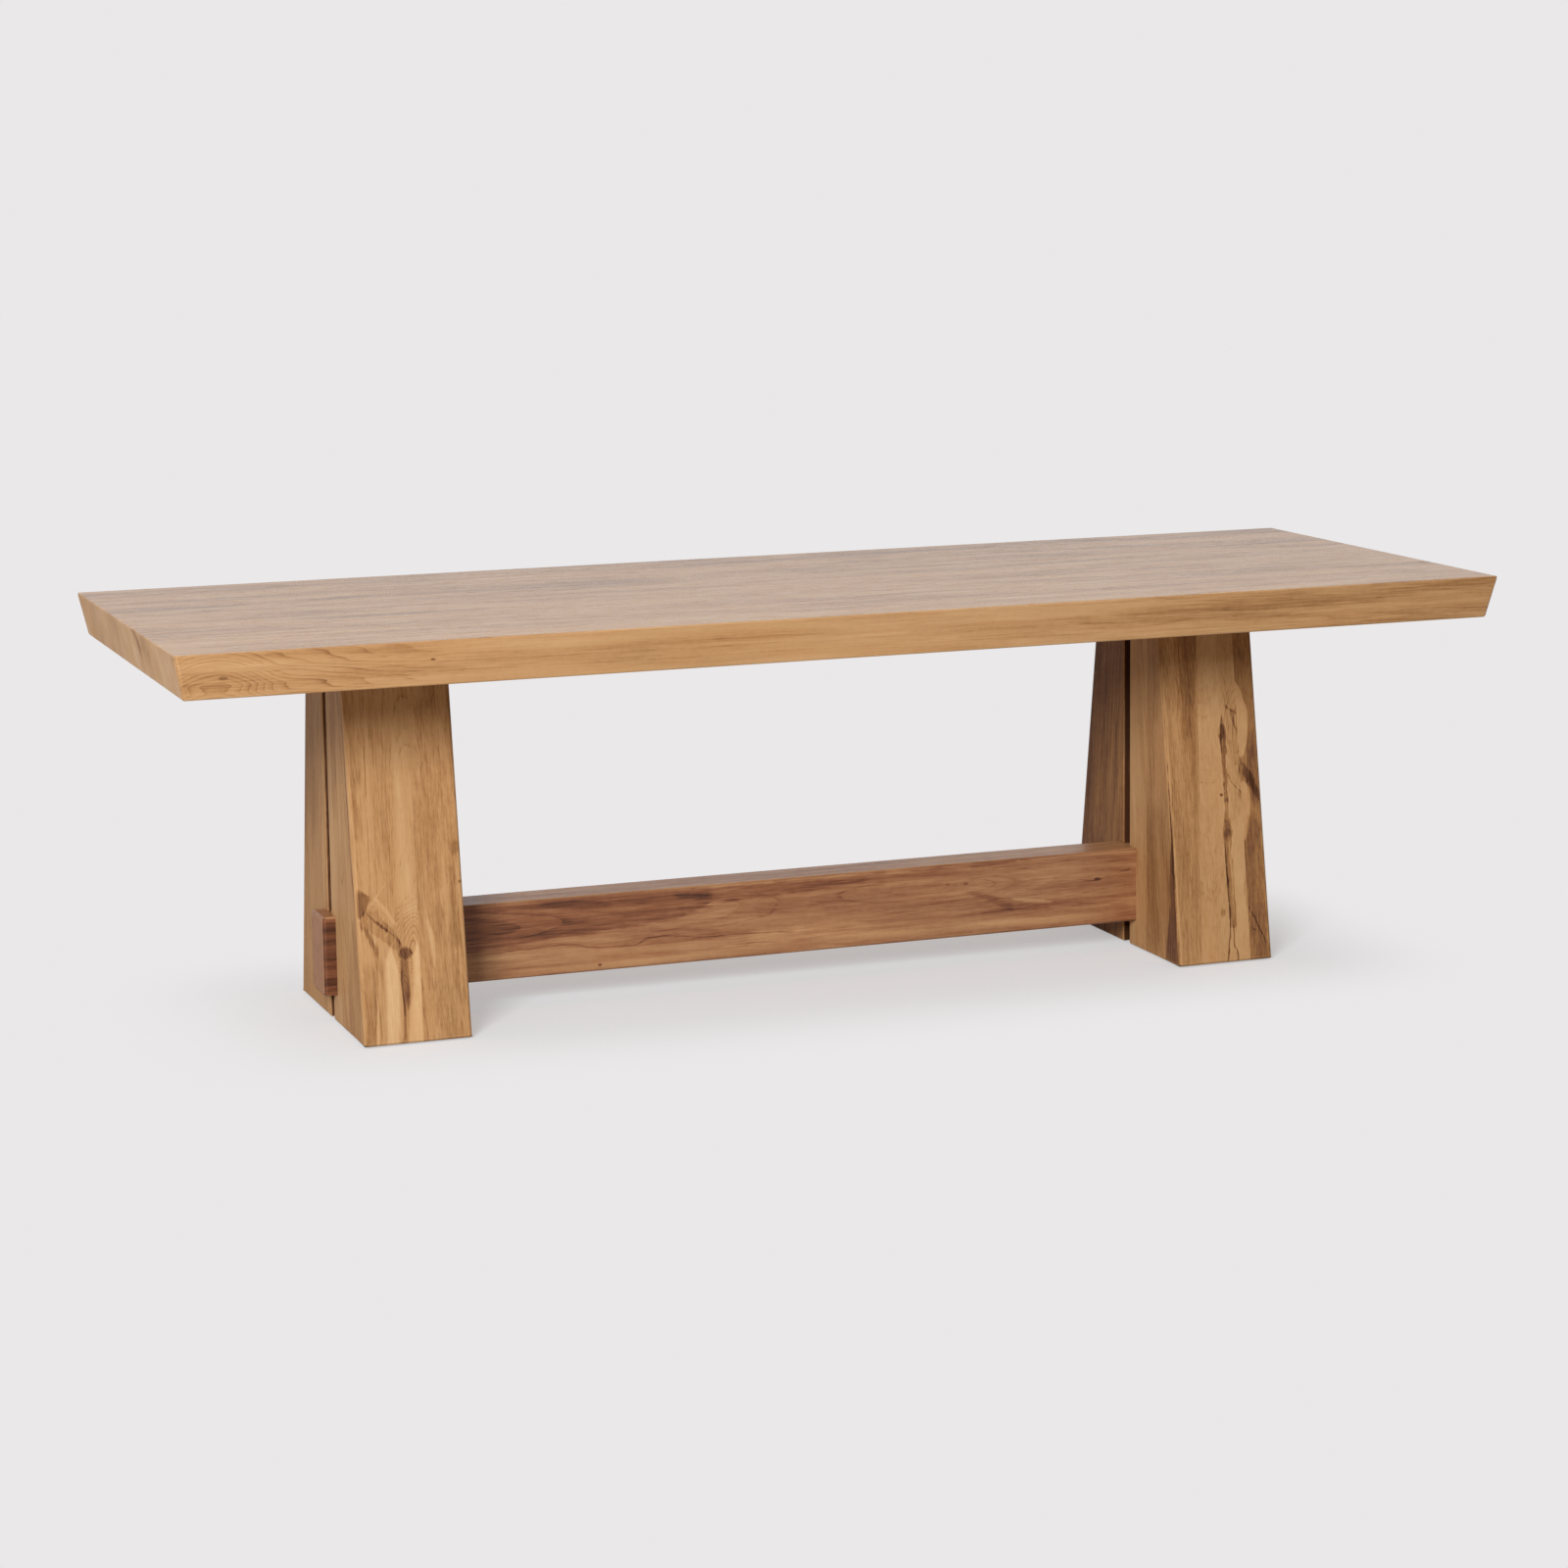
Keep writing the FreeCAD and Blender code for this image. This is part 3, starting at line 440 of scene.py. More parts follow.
def grow_knots(tree, place, years, knots, ragged):
    """Lifts the year count round each knot. Gives the years, the dark hearts and how near."""
    hearts, nearness = 0.0, 0.0
    for centre, radii, lift, darkness in knots:
        sockets = {
            "Vector": place,
            "Location": [v * MM for v in centre],
            "Scale": [v * MM for v in radii],
        }
        away = add(tree, "Mapping", sockets, vector_type="TEXTURE")
        away = add(tree, "VectorMath", {0: away}, operation="LENGTH")
        sockets = {"Value": away, "From Min": KNOT_REACH, "From Max": 0.0}
        rise = add(tree, "MapRange", sockets, interpolation_type="SMOOTHERSTEP")
        years = weighed(tree, years, [(rise, lift)])
        if abs(lift) > STRONG_KNOT:
            near = ramped(tree, away, KNOT_REACH, 2.0)
            nearness = add(tree, "Math", {0: near, 1: nearness}, operation="MAXIMUM")
        if darkness:
            rim = weighed(tree, away, [(ragged, 0.9)])
            heart = ramped(tree, rim, *HEART_RIM, 0.0, darkness)
            hearts = add(tree, "Math", {0: heart, 1: hearts}, operation="MAXIMUM")
    return years, hearts, nearness


def follow(tree, along, path):
    """How far across a drawn line lies at each place along it. The path is pairs of mm."""
    start, end = path[0][0], path[-1][0]
    low, high = min(p[1] for p in path) - 1.0, max(p[1] for p in path) + 1.0
    sockets = {"Value": along, "From Min": start * MM, "From Max": end * MM}
    part = add(tree, "MapRange", sockets)
    across = add(tree, "FloatCurve", {"Value": part})
    mapping = tree.nodes[-1].mapping
    line = mapping.curves[0]
    while len(line.points) < len(path):
        line.points.new(0.5, 0.5)
    for point, (place, offset) in zip(line.points, path):
        point.location = ((place - start) / (end - start), (offset - low) / (high - low))
    mapping.update()
    return add(tree, "MapRange", {"Value": across, "To Min": low * MM, "To Max": high * MM})


def streak(tree, along, across, points, soft, feather):
    """1 in a drawn streak and 0 outside it. A point is (along, across, half width) in mm."""
    middle = follow(tree, along, [(place, offset) for place, offset, _ in points])
    half = follow(tree, along, [(place, width) for place, _, width in points])
    away = add(tree, "Math", {0: across, 1: middle}, operation="SUBTRACT")
    away = add(tree, "Math", {0: away}, operation="ABSOLUTE")
    inside = add(tree, "Math", {0: half, 1: away}, operation="SUBTRACT")
    sockets = {0: inside, 1: 1 / (soft * MM), 2: feather}
    inside = add(tree, "Math", sockets, operation="MULTIPLY_ADD", use_clamp=True)
    low, high = sorted((points[0][0], points[-1][0]))
    for end, inward in ((low, 1.0), (high, -1.0)):
        reach = add(tree, "Math", {0: along, 1: end * MM}, operation="SUBTRACT")
        sockets = {0: reach, 1: inward / (2.5 * soft * MM)}
        gate = add(tree, "Math", sockets, operation="MULTIPLY", use_clamp=True)
        inside = add(tree, "Math", {0: inside, 1: gate}, operation="MULTIPLY")
    return inside


def by_board(tree, across, width, seed):
    """A number between -0.5 and 0.5 for each board that the place lies in."""
    board = add(tree, "Math", {0: across, 1: width * MM}, operation="DIVIDE")
    board = add(tree, "Math", {0: board}, operation="FLOOR")
    board = add(tree, "Math", {0: board, 1: seed}, operation="ADD")
    shade = add(tree, "TexWhiteNoise", {"W": board}, take="Value", noise_dimensions="1D")
    return add(tree, "Math", {0: shade, 1: 0.5}, operation="SUBTRACT")


def oiled_oak(
    name,
    grain,
    pith,
    tilt=(1.0, 0.5),
    seed=0.0,
    tone=0.45,
    ring=4.5,
    knots=(),
    streaks=(),
    shades=OAK_SHADES,
    sway=14.0,
    figure=1.0,
    lines=0.20,
    marks=0.12,
    band=(36.0, 520.0),
    fibre=(3.0, 110.0),
    fleck=(7.0, 90.0),
    polish=0.5,
    shine=0.14,
    strips=0.0,
):
    """Planed and oiled solid oak: satin, with dark pore lines that catch a little shade.

    pith is a point that the middle of the log passes through, in mm, and tilt how many degrees
    the log leans to the board. ring is the ring width in mm. A knot is (centre, radii, lift in
    rings, darkness) and a streak (direction across, soft rim, tone change, and its points).
    """
    material, tree = blank_material(name)
    place = add(tree, "TexCoord", take="Object")
    axes = add(tree, "SeparateXYZ", {0: place}, take="X").node.outputs
    log = in_the_log(tree, place, grain, pith, tilt, sway, seed)
    ragged = add(tree, "TexNoise", {"Vector": place, "Scale": 60.0, "Detail": 3.0})

    years = count_years(tree, log, ring)
    years, hearts, nearness = grow_knots(tree, place, years, knots, ragged)
    season = add(tree, "Math", {0: years}, operation="FRACT")
    soft_side = ramped(tree, season, 0.7, 0.0)
    pore_row = ramped(tree, season, 0.22, 0.0)
    spring = weighed(tree, 0.0, [(soft_side, 0.45), (pore_row, 0.55)])
    sockets = {"W": years, "Scale": 0.7, "Detail": 2.0}
    strong_years = ramped(tree, add(tree, "TexNoise", sockets, noise_dimensions="1D"), 0.4, 0.62)
    broken = ramped(tree, stretched(tree, log, 4.0, 60.0, seed, 1.0), 0.35, 0.6, 0.15, 1.0)
    if knots:
        whole = add(tree, "Math", {0: nearness, 1: 0.9}, operation="MULTIPLY")
        broken = add(tree, "Math", {0: broken, 1: whole}, operation="MAXIMUM")
    spring = add(tree, "Math", {0: spring, 1: broken}, operation="MULTIPLY")
    strength = add(tree, "Math", {0: strong_years, 1: 0.75, 2: 0.25}, operation="MULTIPLY_ADD")
    if knots:
        strength = weighed(tree, strength, [(nearness, 0.8)])
    spring = add(tree, "Math", {0: spring, 1: strength}, operation="MULTIPLY")
    sockets = {"W": years, "Scale": 0.25, "Detail": 2.0}
    good_years = add(tree, "TexNoise", sockets, noise_dimensions="1D")

    bands = stretched(tree, log, *band, seed + 7.0, 3.0, 0.55)
    fibres = stretched(tree, log, *fibre, seed + 5.0, 2.0, 0.6)
    curl = stretched(tree, log, 12.0, 10.0, seed + 1.0, 1.0)
    pores = ramped(tree, stretched(tree, log, 1.1, 24.0, seed, 1.0), 0.56, 0.70)
    flecks = ramped(tree, stretched(tree, log, *fleck, seed + 9.0, 2.0), 0.64, 0.76)
    even = (
        (bands, BANDS * figure),
        (good_years, GOOD_YEARS * figure),
        (fibres, FIBRES),
        (curl, CURL),
    )
    total = tone - 0.5 * sum(share for _, share in even)
    total = weighed(tree, total, even)

    along = axes[grain.upper()]
    feather = add(tree, "Math", {0: fibres, 1: 3.0, 2: -1.5}, operation="MULTIPLY_ADD")
    clean = 0.0
    facing = add(tree, "NewGeometry", take="True Normal")
    facing = add(tree, "VectorMath", {0: facing}, operation="ABSOLUTE")
    facing = add(tree, "SeparateXYZ", {0: facing}, take="X").node.outputs
    if streaks:
        wobble = stretched(tree, log, 16.0, 42.0, seed + 2.0, 3.0)
        sockets = {0: wobble, 1: STREAK_SHAKE, 2: -STREAK_SHAKE / 2}
        wobble = add(tree, "Math", sockets, operation="MULTIPLY_ADD")
    for across, soft, change, *points in streaks:
        shaken = add(tree, "Math", {0: axes[across.upper()], 1: wobble}, operation="ADD")
        drawn = streak(tree, along, shaken, points, soft, feather)
        sockets = {0: facing[across.upper()], 1: ALONGSIDE}
        lies_in = add(tree, "Math", sockets, operation="LESS_THAN")
        drawn = add(tree, "Math", {0: drawn, 1: lies_in}, operation="MULTIPLY")
        total = weighed(tree, total, [(drawn, change)])
        if change < PALE_STREAK:
            clean = add(tree, "Math", {0: drawn, 1: clean}, operation="MAXIMUM")
    if streaks:
        kept = add(tree, "Math", {0: clean, 1: -YEARS_LOST, 2: 1.0}, operation="MULTIPLY_ADD")
        spring = add(tree, "Math", {0: spring, 1: kept}, operation="MULTIPLY")
    total = weighed(tree, total, [(spring, lines), (pores, PORES), (flecks, marks)])
    if knots:
        total = add(tree, "Math", {0: total, 1: hearts}, operation="ADD")
    # the walls inside the slot are darker: painted shade of the deep, narrow slot
    if "_post_" in name:
        depth = add(tree, "Math", {0: axes["Y"]}, operation="ABSOLUTE")
        slot_shade = add(tree, "Math", {0: depth, 1: SLOT_WALL}, operation="LESS_THAN")
        total = weighed(tree, total, [(slot_shade, SLOT_SHADE_TONE)])
    if strips:
        total = weighed(tree, total, [(by_board(tree, axes["Y"], BOARD_PITCH, seed), strips)])
    sockets = {0: facing[grain.upper()], 1: SQUARE_ON}
    end_grain = add(tree, "Math", sockets, operation="GREATER_THAN")
    calm = add(tree, "Math", {0: end_grain, 1: END_CALM}, operation="MULTIPLY")
    total = add(tree, "Mix", {"Factor": calm, "A": total, "B": tone + END_GRAIN_TONE})
    # rounded arrises are paler: partly wear, partly a painted highlight along each arris
    arris = add(tree, "Attribute", take="Fac", attribute_name="arris")
    total = weighed(tree, total, [(arris, ARRIS_TONE)])

    colour = add(tree, "ValToRGB", {"Fac": total})
    ramp = tree.nodes[-1].color_ramp
    while len(ramp.elements) < len(shades):
        ramp.elements.new(0.5)
    for stop, (position, shade) in zip(ramp.elements, shades):
        stop.position, stop.color = position, linear(shade)
    warmth = stretched(tree, log, 60.0, 300.0, seed + 3.0)
    sockets = {"Factor": warmth, "A": WARM_TINT, "B": COOL_TINT}
    tint = add(tree, "Mix", sockets, data_type="RGBA")
    sockets = {"Factor": 1.0, "A": colour, "B": tint}
    colour = add(tree, "Mix", sockets, data_type="RGBA", blend_type="MULTIPLY")
    sheen = add(tree, "Math", {0: fibres, 1: 0.3, 2: polish - 0.15}, operation="MULTIPLY_ADD")
    sheen = weighed(tree, sheen, [(pores, 0.2), (arris, -0.08), (end_grain, 0.2)])
    depth = weighed(tree, 0.0, [(spring, -0.4), (pores, -0.6)])
    planed = add(tree, "Bump", {"Strength": 0.35, "Distance": 0.25 * MM, "Height": depth})
    sockets = {
        "Base Color": colour,
        "Roughness": sheen,
        "IOR": OAK_IOR,
        "Specular IOR Level": shine,
        "Normal": planed,
    }
    add(tree, "OutputMaterial", {"Surface": add(tree, "BsdfPrincipled", sockets)})
    return material


def dress(name, material):
    """Puts one material on the piece that is shown for a solid."""
    shown[name].data.materials.clear()
    shown[name].data.materials.append(material)


print("oak has", len(OAK_SHADES), "shades")

# %% [markdown]
# ## The top boards
#
# Eight boards make the panel. A joiner picks neighbours from the same log so that the joints don't
# show, and lays them heart side down, so each pith is a few centimetres under its own board and a
# little to one side. The seeds and the offsets are drawn from one seeded dice, so that the boards
# differ and yet come out the same each time.

# %% Top boards
dice = random.Random(1911)
TOP_TONE = 0.44
TOP_MARKS = {  # short dark marks where a branch or a cut-off pore shows
    "top_board_1": (("y", 3, 0.34, (-1205, -428, 1), (-1178, -420, 5), (-1150, -409, 1)),),
    "top_board_2": (("y", 3, 0.34, (-1300, -240, 2), (-1284, -262, 4), (-1268, -285, 1)),),
    "top_board_3": (("y", 3, 0.34, (-985, -156, 1), (-950, -150, 5), (-915, -145, 1)),),
    "top_board_5": (("y", 3, 0.34, (-1140, 90, 1), (-1112, 97, 5), (-1085, 102, 1)),),
    "top_board_7": (("y", 3, 0.34, (-1075, 267, 1), (-1059, 271, 5), (-1040, 275, 1)),),
}
boards = sorted(n for n in solids if n.startswith("top_board_"))
for i, name in enumerate(boards):
    middle = (i - (len(boards) - 1) / 2) * BOARD_PITCH
    offset, depth = dice.uniform(-35, 35), dice.uniform(90, 160)
    dress(
        name,
        oiled_oak(
            "planed_oak_" + name,
            "x",
            pith=(0, middle + offset, 740 - depth),
            tilt=(dice.uniform(-0.4, 0.4), dice.uniform(0.4, 1.1)),
            seed=dice.uniform(0, 20),
            tone=TOP_TONE + dice.uniform(-0.03, 0.03) + 0.014 * i,
            polish=0.25,
            shine=0.5,
            figure=1.25,
            lines=0.14,
            marks=0.36,
            sway=26.0,
            band=(30.0, 380.0),
            fibre=(4.0, 90.0),
            fleck=(10.0, 100.0),
            streaks=TOP_MARKS.get(name, ()),
        ),
    )
print(len(boards), "top boards")

# %% [markdown]
# ## The drop edge
#
# The long drop edges are boards on their own, with bold arches on the face and a small knot or
# two. At the ends the boards of the top seem to run on over the arris and down, so there the grain
# is turned upright.

# %% Drop edge
LEFT_END_STREAKS = (  # wide, because this face is seen very much from the side
    ("y", 14, 0.24, (815, -84, 20), (778, -100, 24), (762, -120, 22), (736, -134, 14),
      (712, -143, 3)),
    ("y", 20, 0.10, (840, -196, 20), (776, -176, 34), (740, -196, 34), (700, -230, 10)),
    ("y", 24, -0.08, (850, -330, 50), (740, -290, 60), (640, -260, 50)),
    ("y", 24, 0.07, (850, 104, 50), (740, 118, 44), (640, 134, 30)),
)
dress(
    "drop_edge_front",
    oiled_oak(
        "planed_oak_front_edge",
        "x",
        pith=(0, -440, 900),
        tilt=(0.0, 0.3),
        seed=4.1,
        tone=0.46,
        streaks=(
            ("z", 60, 0.07, (400, 740, 60), (800, 740, 60), (1450, 740, 60)),
            ("z", 60, -0.05, (-760, 740, 60), (-350, 740, 60), (100, 740, 60)),
        ),
        ring=11.0,
        lines=0.15,
        figure=0.9,
        sway=7.0,
        knots=(
            ((-1240, -470, 745), (110, 120, 140), 4.0, 0.0),
            ((-1226, -470, 728), (32, 60, 19), 6.0, 0.0),
            ((-1213, -466, 735), (9, 40, 3.5), 0.4, 0.16),
            ((-841, -468, 746), (4, 20, 2.5), 0.6, 0.3),
        ),
    ),
)
dress(
    "drop_edge_back",
    oiled_oak(
        "planed_oak_back_edge", "x", pith=(0, 400, 735), tilt=(0.0, -0.7), seed=9.3, tone=0.46
    ),
)
for name, side, seed in (("drop_edge_left", -1, 12.4), ("drop_edge_right", 1, 15.8)):
    dress(
        name,
        oiled_oak(
            "planed_oak_" + name,
            "z",
            pith=(side * 1200, -40, 740),
            tilt=(2.0, 3.0 * side),
            seed=seed,
            tone=0.37,
            figure=0.55,
            lines=0.04,
            band=(80.0, 90.0),
            fibre=(50.0, 70.0),
            shine=0.2,
            strips=0.06,
            streaks=LEFT_END_STREAKS if side < 0 else (),
        ),
    )
print("drop edges done")

# %% [markdown]
# ## The posts
#
# Each post is glued up from face boards, a core and two thinner inner laminations. No two come
# from the same log, so neighbours differ a little in tone, which is what shows the glue lines.
# The boards that are seen first have their figure placed one by one. The posts are more matt than
# the top, which is polished by use, and that keeps their dark wood dark when it is seen from the
# side.

# %% Posts
# A streak is (direction across, soft rim, tone change, points), in mm, and each of its points is
# (along the grain, across it, half width).
LEFT_KNOT = (-842, -222, 168)
LEFT_DOME = (-834, -215, 190)  # the rings close over the knot like an onion
LEFT_STREAKS = (
    # the dark patch at the arris, and a small mark beside its tip
    ("x", 5, 0.29, (294, -930, 1), (282, -922, 11), (272, -917, 16), (262, -918, 15),
      (254, -920, 13), (246, -923, 11), (238, -927, 8), (228, -932, 3)),
    ("x", 3, 0.16, (262, -898, 1), (256, -897, 6), (250, -897, 1)),
    # the torn band that leads from it down to the knot, with dark lines in it
    ("x", 4, 0.14, (256, -896, 3), (235, -903, 22), (217, -889, 24), (200, -875, 20),
      (185, -862, 14), (168, -851, 8)),
    ("x", 4, 0.26, (249, -914, 2), (240, -906, 3.5), (231, -897, 4.5), (222, -888, 5.5),
      (210, -874, 4.5), (203, -866, 2.5), (196, -858, 3), (184, -850, 4), (176, -845, 4)),
    # a dark streak lower down along the arris, and browner wood below it
    ("x", 5, 0.24, (236, -930, 4), (221, -920, 6), (210, -912, 7), (193, -904, 7),
      (175, -897, 6), (160, -893, 3)),
    ("x", 5, 0.10, (175, -898, 8), (150, -892, 8), (120, -890, 5)),
    # pale fibres above the band, and torn ones across it
    ("x", 1.5, -0.14, (272, -893, 2), (254, -880, 5), (235, -866, 5), (217, -856, 3)),
    ("x", 1.2, -0.20, (300, -868, 0.8), (276, -888, 1.4), (256, -903, 0.8)),
    ("x", 1.2, -0.18, (250, -897, 0.8), (228, -911, 1.2)),
    ("x", 1.2, -0.20, (240, -874, 0.8), (215, -893, 1.4)),
    ("x", 1.2, -0.22, (226, -863, 0.8), (199, -878, 1.5)),
    ("x", 1.2, -0.22, (208, -850, 0.8), (182, -868, 1.5)),
    # the streak that runs down from the knot, darkest along its left side
    ("x", 3, 0.20, (160, -843, 9), (134, -844, 10), (117, -845, 10), (96, -846, 8), (71, -849, 5),
      (45, -851, 4), (20, -853, 4), (-6, -856, 4.5)),
    ("x", 2, 0.20, (140, -852, 1), (117, -853, 2), (96, -852, 2), (75, -850, 2.5), (50, -851, 1)),
    ("x", 2, 0.10, (120, -842, 1), (90, -842, 3), (60, -846, 1)),
    # pale stripes of younger wood on both sides of it
    ("x", 5, -0.28, (186, -868, 2), (166, -870, 8), (145, -870, 13), (110, -870, 14.5),
      (74, -872, 14.5), (-8, -875, 14)),
    ("x", 4, -0.26, (190, -818, 3), (168, -821, 7), (145, -821, 9), (118, -823, 10), (93, -825, 11),
      (67, -829, 13), (42, -831, 15), (-8, -834, 15)),
    ("x", 2, -0.26, (72, -902, 1), (38, -903, 3), (-8, -905, 4)),
    # browner wood along the arris, paler wood up the middle
    ("x", 12, 0.10, (690, -920, 12), (500, -918, 14), (330, -926, 8)),
    ("y", 14, -0.12, (690, -70, 26), (500, -84, 30), (330, -90, 26)),
    ("x", 9, 0.14, (160, -915, 14), (100, -912, 20), (-30, -918, 18)),
    ("x", 12, -0.12, (560, -838, 8), (400, -836, 14), (300, -834, 20), (215, -826, 22)),
    ("x", 1.5, 0.22, (366, -829, 0.6), (352, -833, 1), (334, -841, 1.2), (318, -845, 0.5)),
    # a crack just behind the arris, on the end face, and browner wood below it
    ("y", 2, 0.32, (650, -128, 1), (515, -152, 3), (479, -157, 4), (400, -169, 4),
      (353, -175, 4), (318, -183, 4), (287, -190, 3), (255, -197, 1)),
    ("y", 10, 0.12, (240, -190, 10), (120, -180, 40), (-40, -180, 60)),
)
LEFT_RIGHT_BOARD = (
    # a pale flame beside the joint, then brown patches
    ("x", 4, -0.24, (250, -801, 1), (205, -794, 5), (185, -791, 6), (160, -789, 5), (130, -789, 1)),
    ("x", 12, 0.10, (640, -790, 8), (560, -788, 12), (420, -786, 8)),
    ("x", 4, 0.16, (370, -738, 2), (352, -735, 9), (335, -742, 3)),
    ("x", 12, 0.07, (330, -752, 6), (200, -745, 12), (60, -750, 8)),
    ("x", 12, 0.06, (260, -765, 30), (100, -765, 34), (-40, -765, 34)),
)
RIGHT_MIDDLE_BOARD = (
    # the long crack: a pointed wedge, then a brown band with a dark rim, then two tails
    ("x", 2.5, 0.30, (492, 855, 0.3), (474, 854, 5), (455, 853, 9), (433, 853, 7), (405, 853, 6),
      (377, 852, 5.5), (349, 853, 5.5), (316, 852, 5)),
    ("x", 1.5, 0.22, (474, 854, 1), (455, 852, 5), (440, 850, 3), (400, 848.5, 1.6),
      (340, 848.5, 1.4), (280, 846, 1)),
    ("x", 2.5, 0.25, (328, 852, 5), (296, 852, 6), (262, 850, 10), (240, 850, 10), (213, 849, 8),
      (186, 849, 8), (158, 849, 8.5), (130, 850, 8.5), (102, 850, 8.5), (68, 849, 8)),
    # browner wood on its right
    ("x", 14, 0.07, (560, 872, 6), (500, 872, 22), (440, 874, 24), (330, 872, 20), (260, 868, 8)),
    ("x", 3, 0.12, (286, 850, 1), (262, 850, 7), (236, 850, 2)),
    ("x", 1.5, 0.36, (240, 843, 1), (212, 843, 2), (186, 843, 2.4), (158, 843.5, 2), (130, 844, 2),
      (102, 844, 2), (58, 842, 2), (39, 838, 2), (-2, 832, 2)),
    ("x", 1.5, 0.34, (76, 851, 1.6), (57, 850, 1.8), (35, 850, 1.8), (23, 855, 2.4), (-2, 851, 2)),
    ("x", 1.5, -0.20, (262, 852, 0.5), (200, 853, 2), (150, 853, 2), (90, 852, 0.5)),
    # the eye beside its top, and the line that hangs from it
    ("x", 3, 0.22, (514, 862, 1), (503, 868, 4), (497, 877, 5), (488, 886, 3)),
    ("x", 2.5, 0.22, (502, 872, 2), (486, 876, 4.5), (470, 880, 3), (450, 887, 2.4),
      (425, 890, 2.2), (400, 889, 2.2), (382, 891, 3)),
    ("x", 2.5, 0.22, (378, 857, 1.5), (362, 864, 2.8), (348, 874, 2.8), (334, 886, 3.2),
      (320, 892, 1)),
    ("x", 2, 0.14, (368, 870, 1), (350, 882, 2), (336, 891, 1)),
    ("x", 6, 0.14, (345, 884, 3), (330, 886, 9), (316, 888, 5)),
    ("x", 3, 0.18, (112, 830, 2), (103, 829, 6), (90, 826, 3)),
    # brown wood that reaches over from the board on its right
    ("x", 2.5, 0.26, (396, 889, 1), (382, 890, 6), (364, 891, 3)),
    ("x", 3, 0.14, (190, 893, 1), (165, 889, 7), (149, 887, 10), (116, 887, 9), (85, 891, 1)),
    ("x", 12, 0.05, (690, 870, 22), (600, 866, 24), (520, 850, 6)),
)
RIGHT_LAST_BOARD = (
    # the pale middle board's wood reaches over the joint
    ("x", 3, -0.24, (560, 886, 1), (541, 887, 9), (518, 890, 15), (496, 893, 17), (457, 896, 15),
      (429, 894, 13), (401, 888, 2)),
    ("x", 3, -0.24, (360, 888, 2), (331, 893, 13), (303, 893, 13), (278, 890, 11), (237, 887, 4)),
    # a reddish patch that hangs from the joint
    ("x", 4, 0.18, (402, 889, 2), (385, 896, 7), (368, 904, 11), (350, 911, 10), (335, 918, 8),
      (312, 924, 3)),
    ("x", 9, 0.10, (470, 916, 4), (430, 914, 14), (380, 914, 18), (330, 918, 16), (296, 922, 5)),
    ("x", 12, 0.09, (300, 905, 20), (150, 905, 26), (-40, 905, 26)),
    ("x", 1.5, 0.32, (118, 879, 1), (98, 892, 1.8), (80, 901, 2.2), (63, 908, 2), (30, 920, 1.2)),
    ("x", 2, 0.24, (68, 892, 2), (58, 901, 2.5)),
)
RIGHT_FIRST_BOARD = (
    # browner under the top, and a pale line along the joint
    ("x", 14, 0.09, (690, 790, 30), (560, 780, 24), (420, 770, 10)),
    ("x", 1.5, -0.16, (640, 807, 1), (500, 799, 1.5), (326, 789, 1.5), (218, 785, 1.5),
      (79, 783, 1.5), (-2, 780, 1.5)),
    ("y", 16, 0.08, (330, -110, 60), (150, -120, 90), (-2, -120, 110)),
    # on the end face: a crack behind the arris, and the browner wedge in front of it
    ("y", 1.2, 0.40, (540, -163, 0.4), (441, -179, 1.2), (386, -187, 1.6), (316, -196, 1.6),
      (264, -205, 3), (222, -210, 3), (166, -217, 2), (69, -231, 1)),
    ("y", 5, 0.22, (245, -212, 1), (205, -208, 10), (162, -210, 13), (105, -214, 17),
      (60, -214, 25), (-2, -212, 34)),
)
BACK_RIGHT_SHADE = 0.26  # painted shade: the back right post is darker all over, on top of the real shadow the top throws on it
SPECIAL_POSTS = {
    "left_front_post_inner_upper": dict(tone=0.33, figure=0.6),
    "left_front_post_inner_lower": dict(tone=0.40, figure=0.6),
    "left_front_post_face_1": dict(
        pith=(-808, -100, 300),
        tilt=(-11.5, -1.5),
        seed=2.2,
        tone=0.46,
        ring=3.4,
        sway=5.0,
        figure=0.6,
        knots=(
            (LEFT_DOME, (12, 60, 22), -7.0, 0.0),
            (LEFT_KNOT, (12, 30, 11), -1.5, 0.34),
        ),
        streaks=LEFT_STREAKS,
    ),
    "left_front_post_core": dict(
        pith=(-760, 60, 300),
        tilt=(-2.0, 1.0),
        seed=3.3,
        tone=0.38,
        figure=0.7,
        streaks=(
            ("y", 6, 0.12, (720, -74, 30), (560, -66, 26), (430, -62, 14), (385, -60, 3)),
            ("y", 6, 0.14, (420, -88, 2), (300, -86, 7), (60, -88, 8), (-40, -88, 8)),
        ),
    ),
    "left_front_post_face_2": dict(
        pith=(-640, -190, 300),
        tilt=(-4.0, -1.0),
        seed=5.7,
        tone=0.52,
        figure=0.8,
        knots=(((-731, -201, 289), (3, 20, 3), 1.0, 0.3),),
        streaks=LEFT_RIGHT_BOARD,
    ),
    "right_front_post_face_1": dict(
        pith=(660, -150, 300),
        tilt=(-4.0, -0.6),
        seed=8.8,
        tone=0.56,
        figure=0.6,
        streaks=RIGHT_FIRST_BOARD,
    ),
    "right_front_post_face_2": dict(
        pith=(800, -90, 300),
        tilt=(-3.0, 1.0),
        seed=11.9,
        tone=0.41,
        lines=0.15,
        figure=0.45,
        knots=(
            ((877, -172, 470), (14, 40, 26), 3.0, 0.0),
            ((842, -196, 333), (3.5, 20, 3), 1.0, 0.45),
            ((850, -207, 258), (8, 30, 9), 2.0, 0.10),
        ),
        streaks=RIGHT_MIDDLE_BOARD,
    ),
    "right_front_post_face_3": dict(
        pith=(1000, -130, 300),
        tilt=(-3.0, 2.0),
        seed=14.2,
        tone=0.66,
        lines=0.12,
        figure=0.38,
        streaks=RIGHT_LAST_BOARD,
    ),
}
posts = sorted(n for n in solids if "_post_" in n)
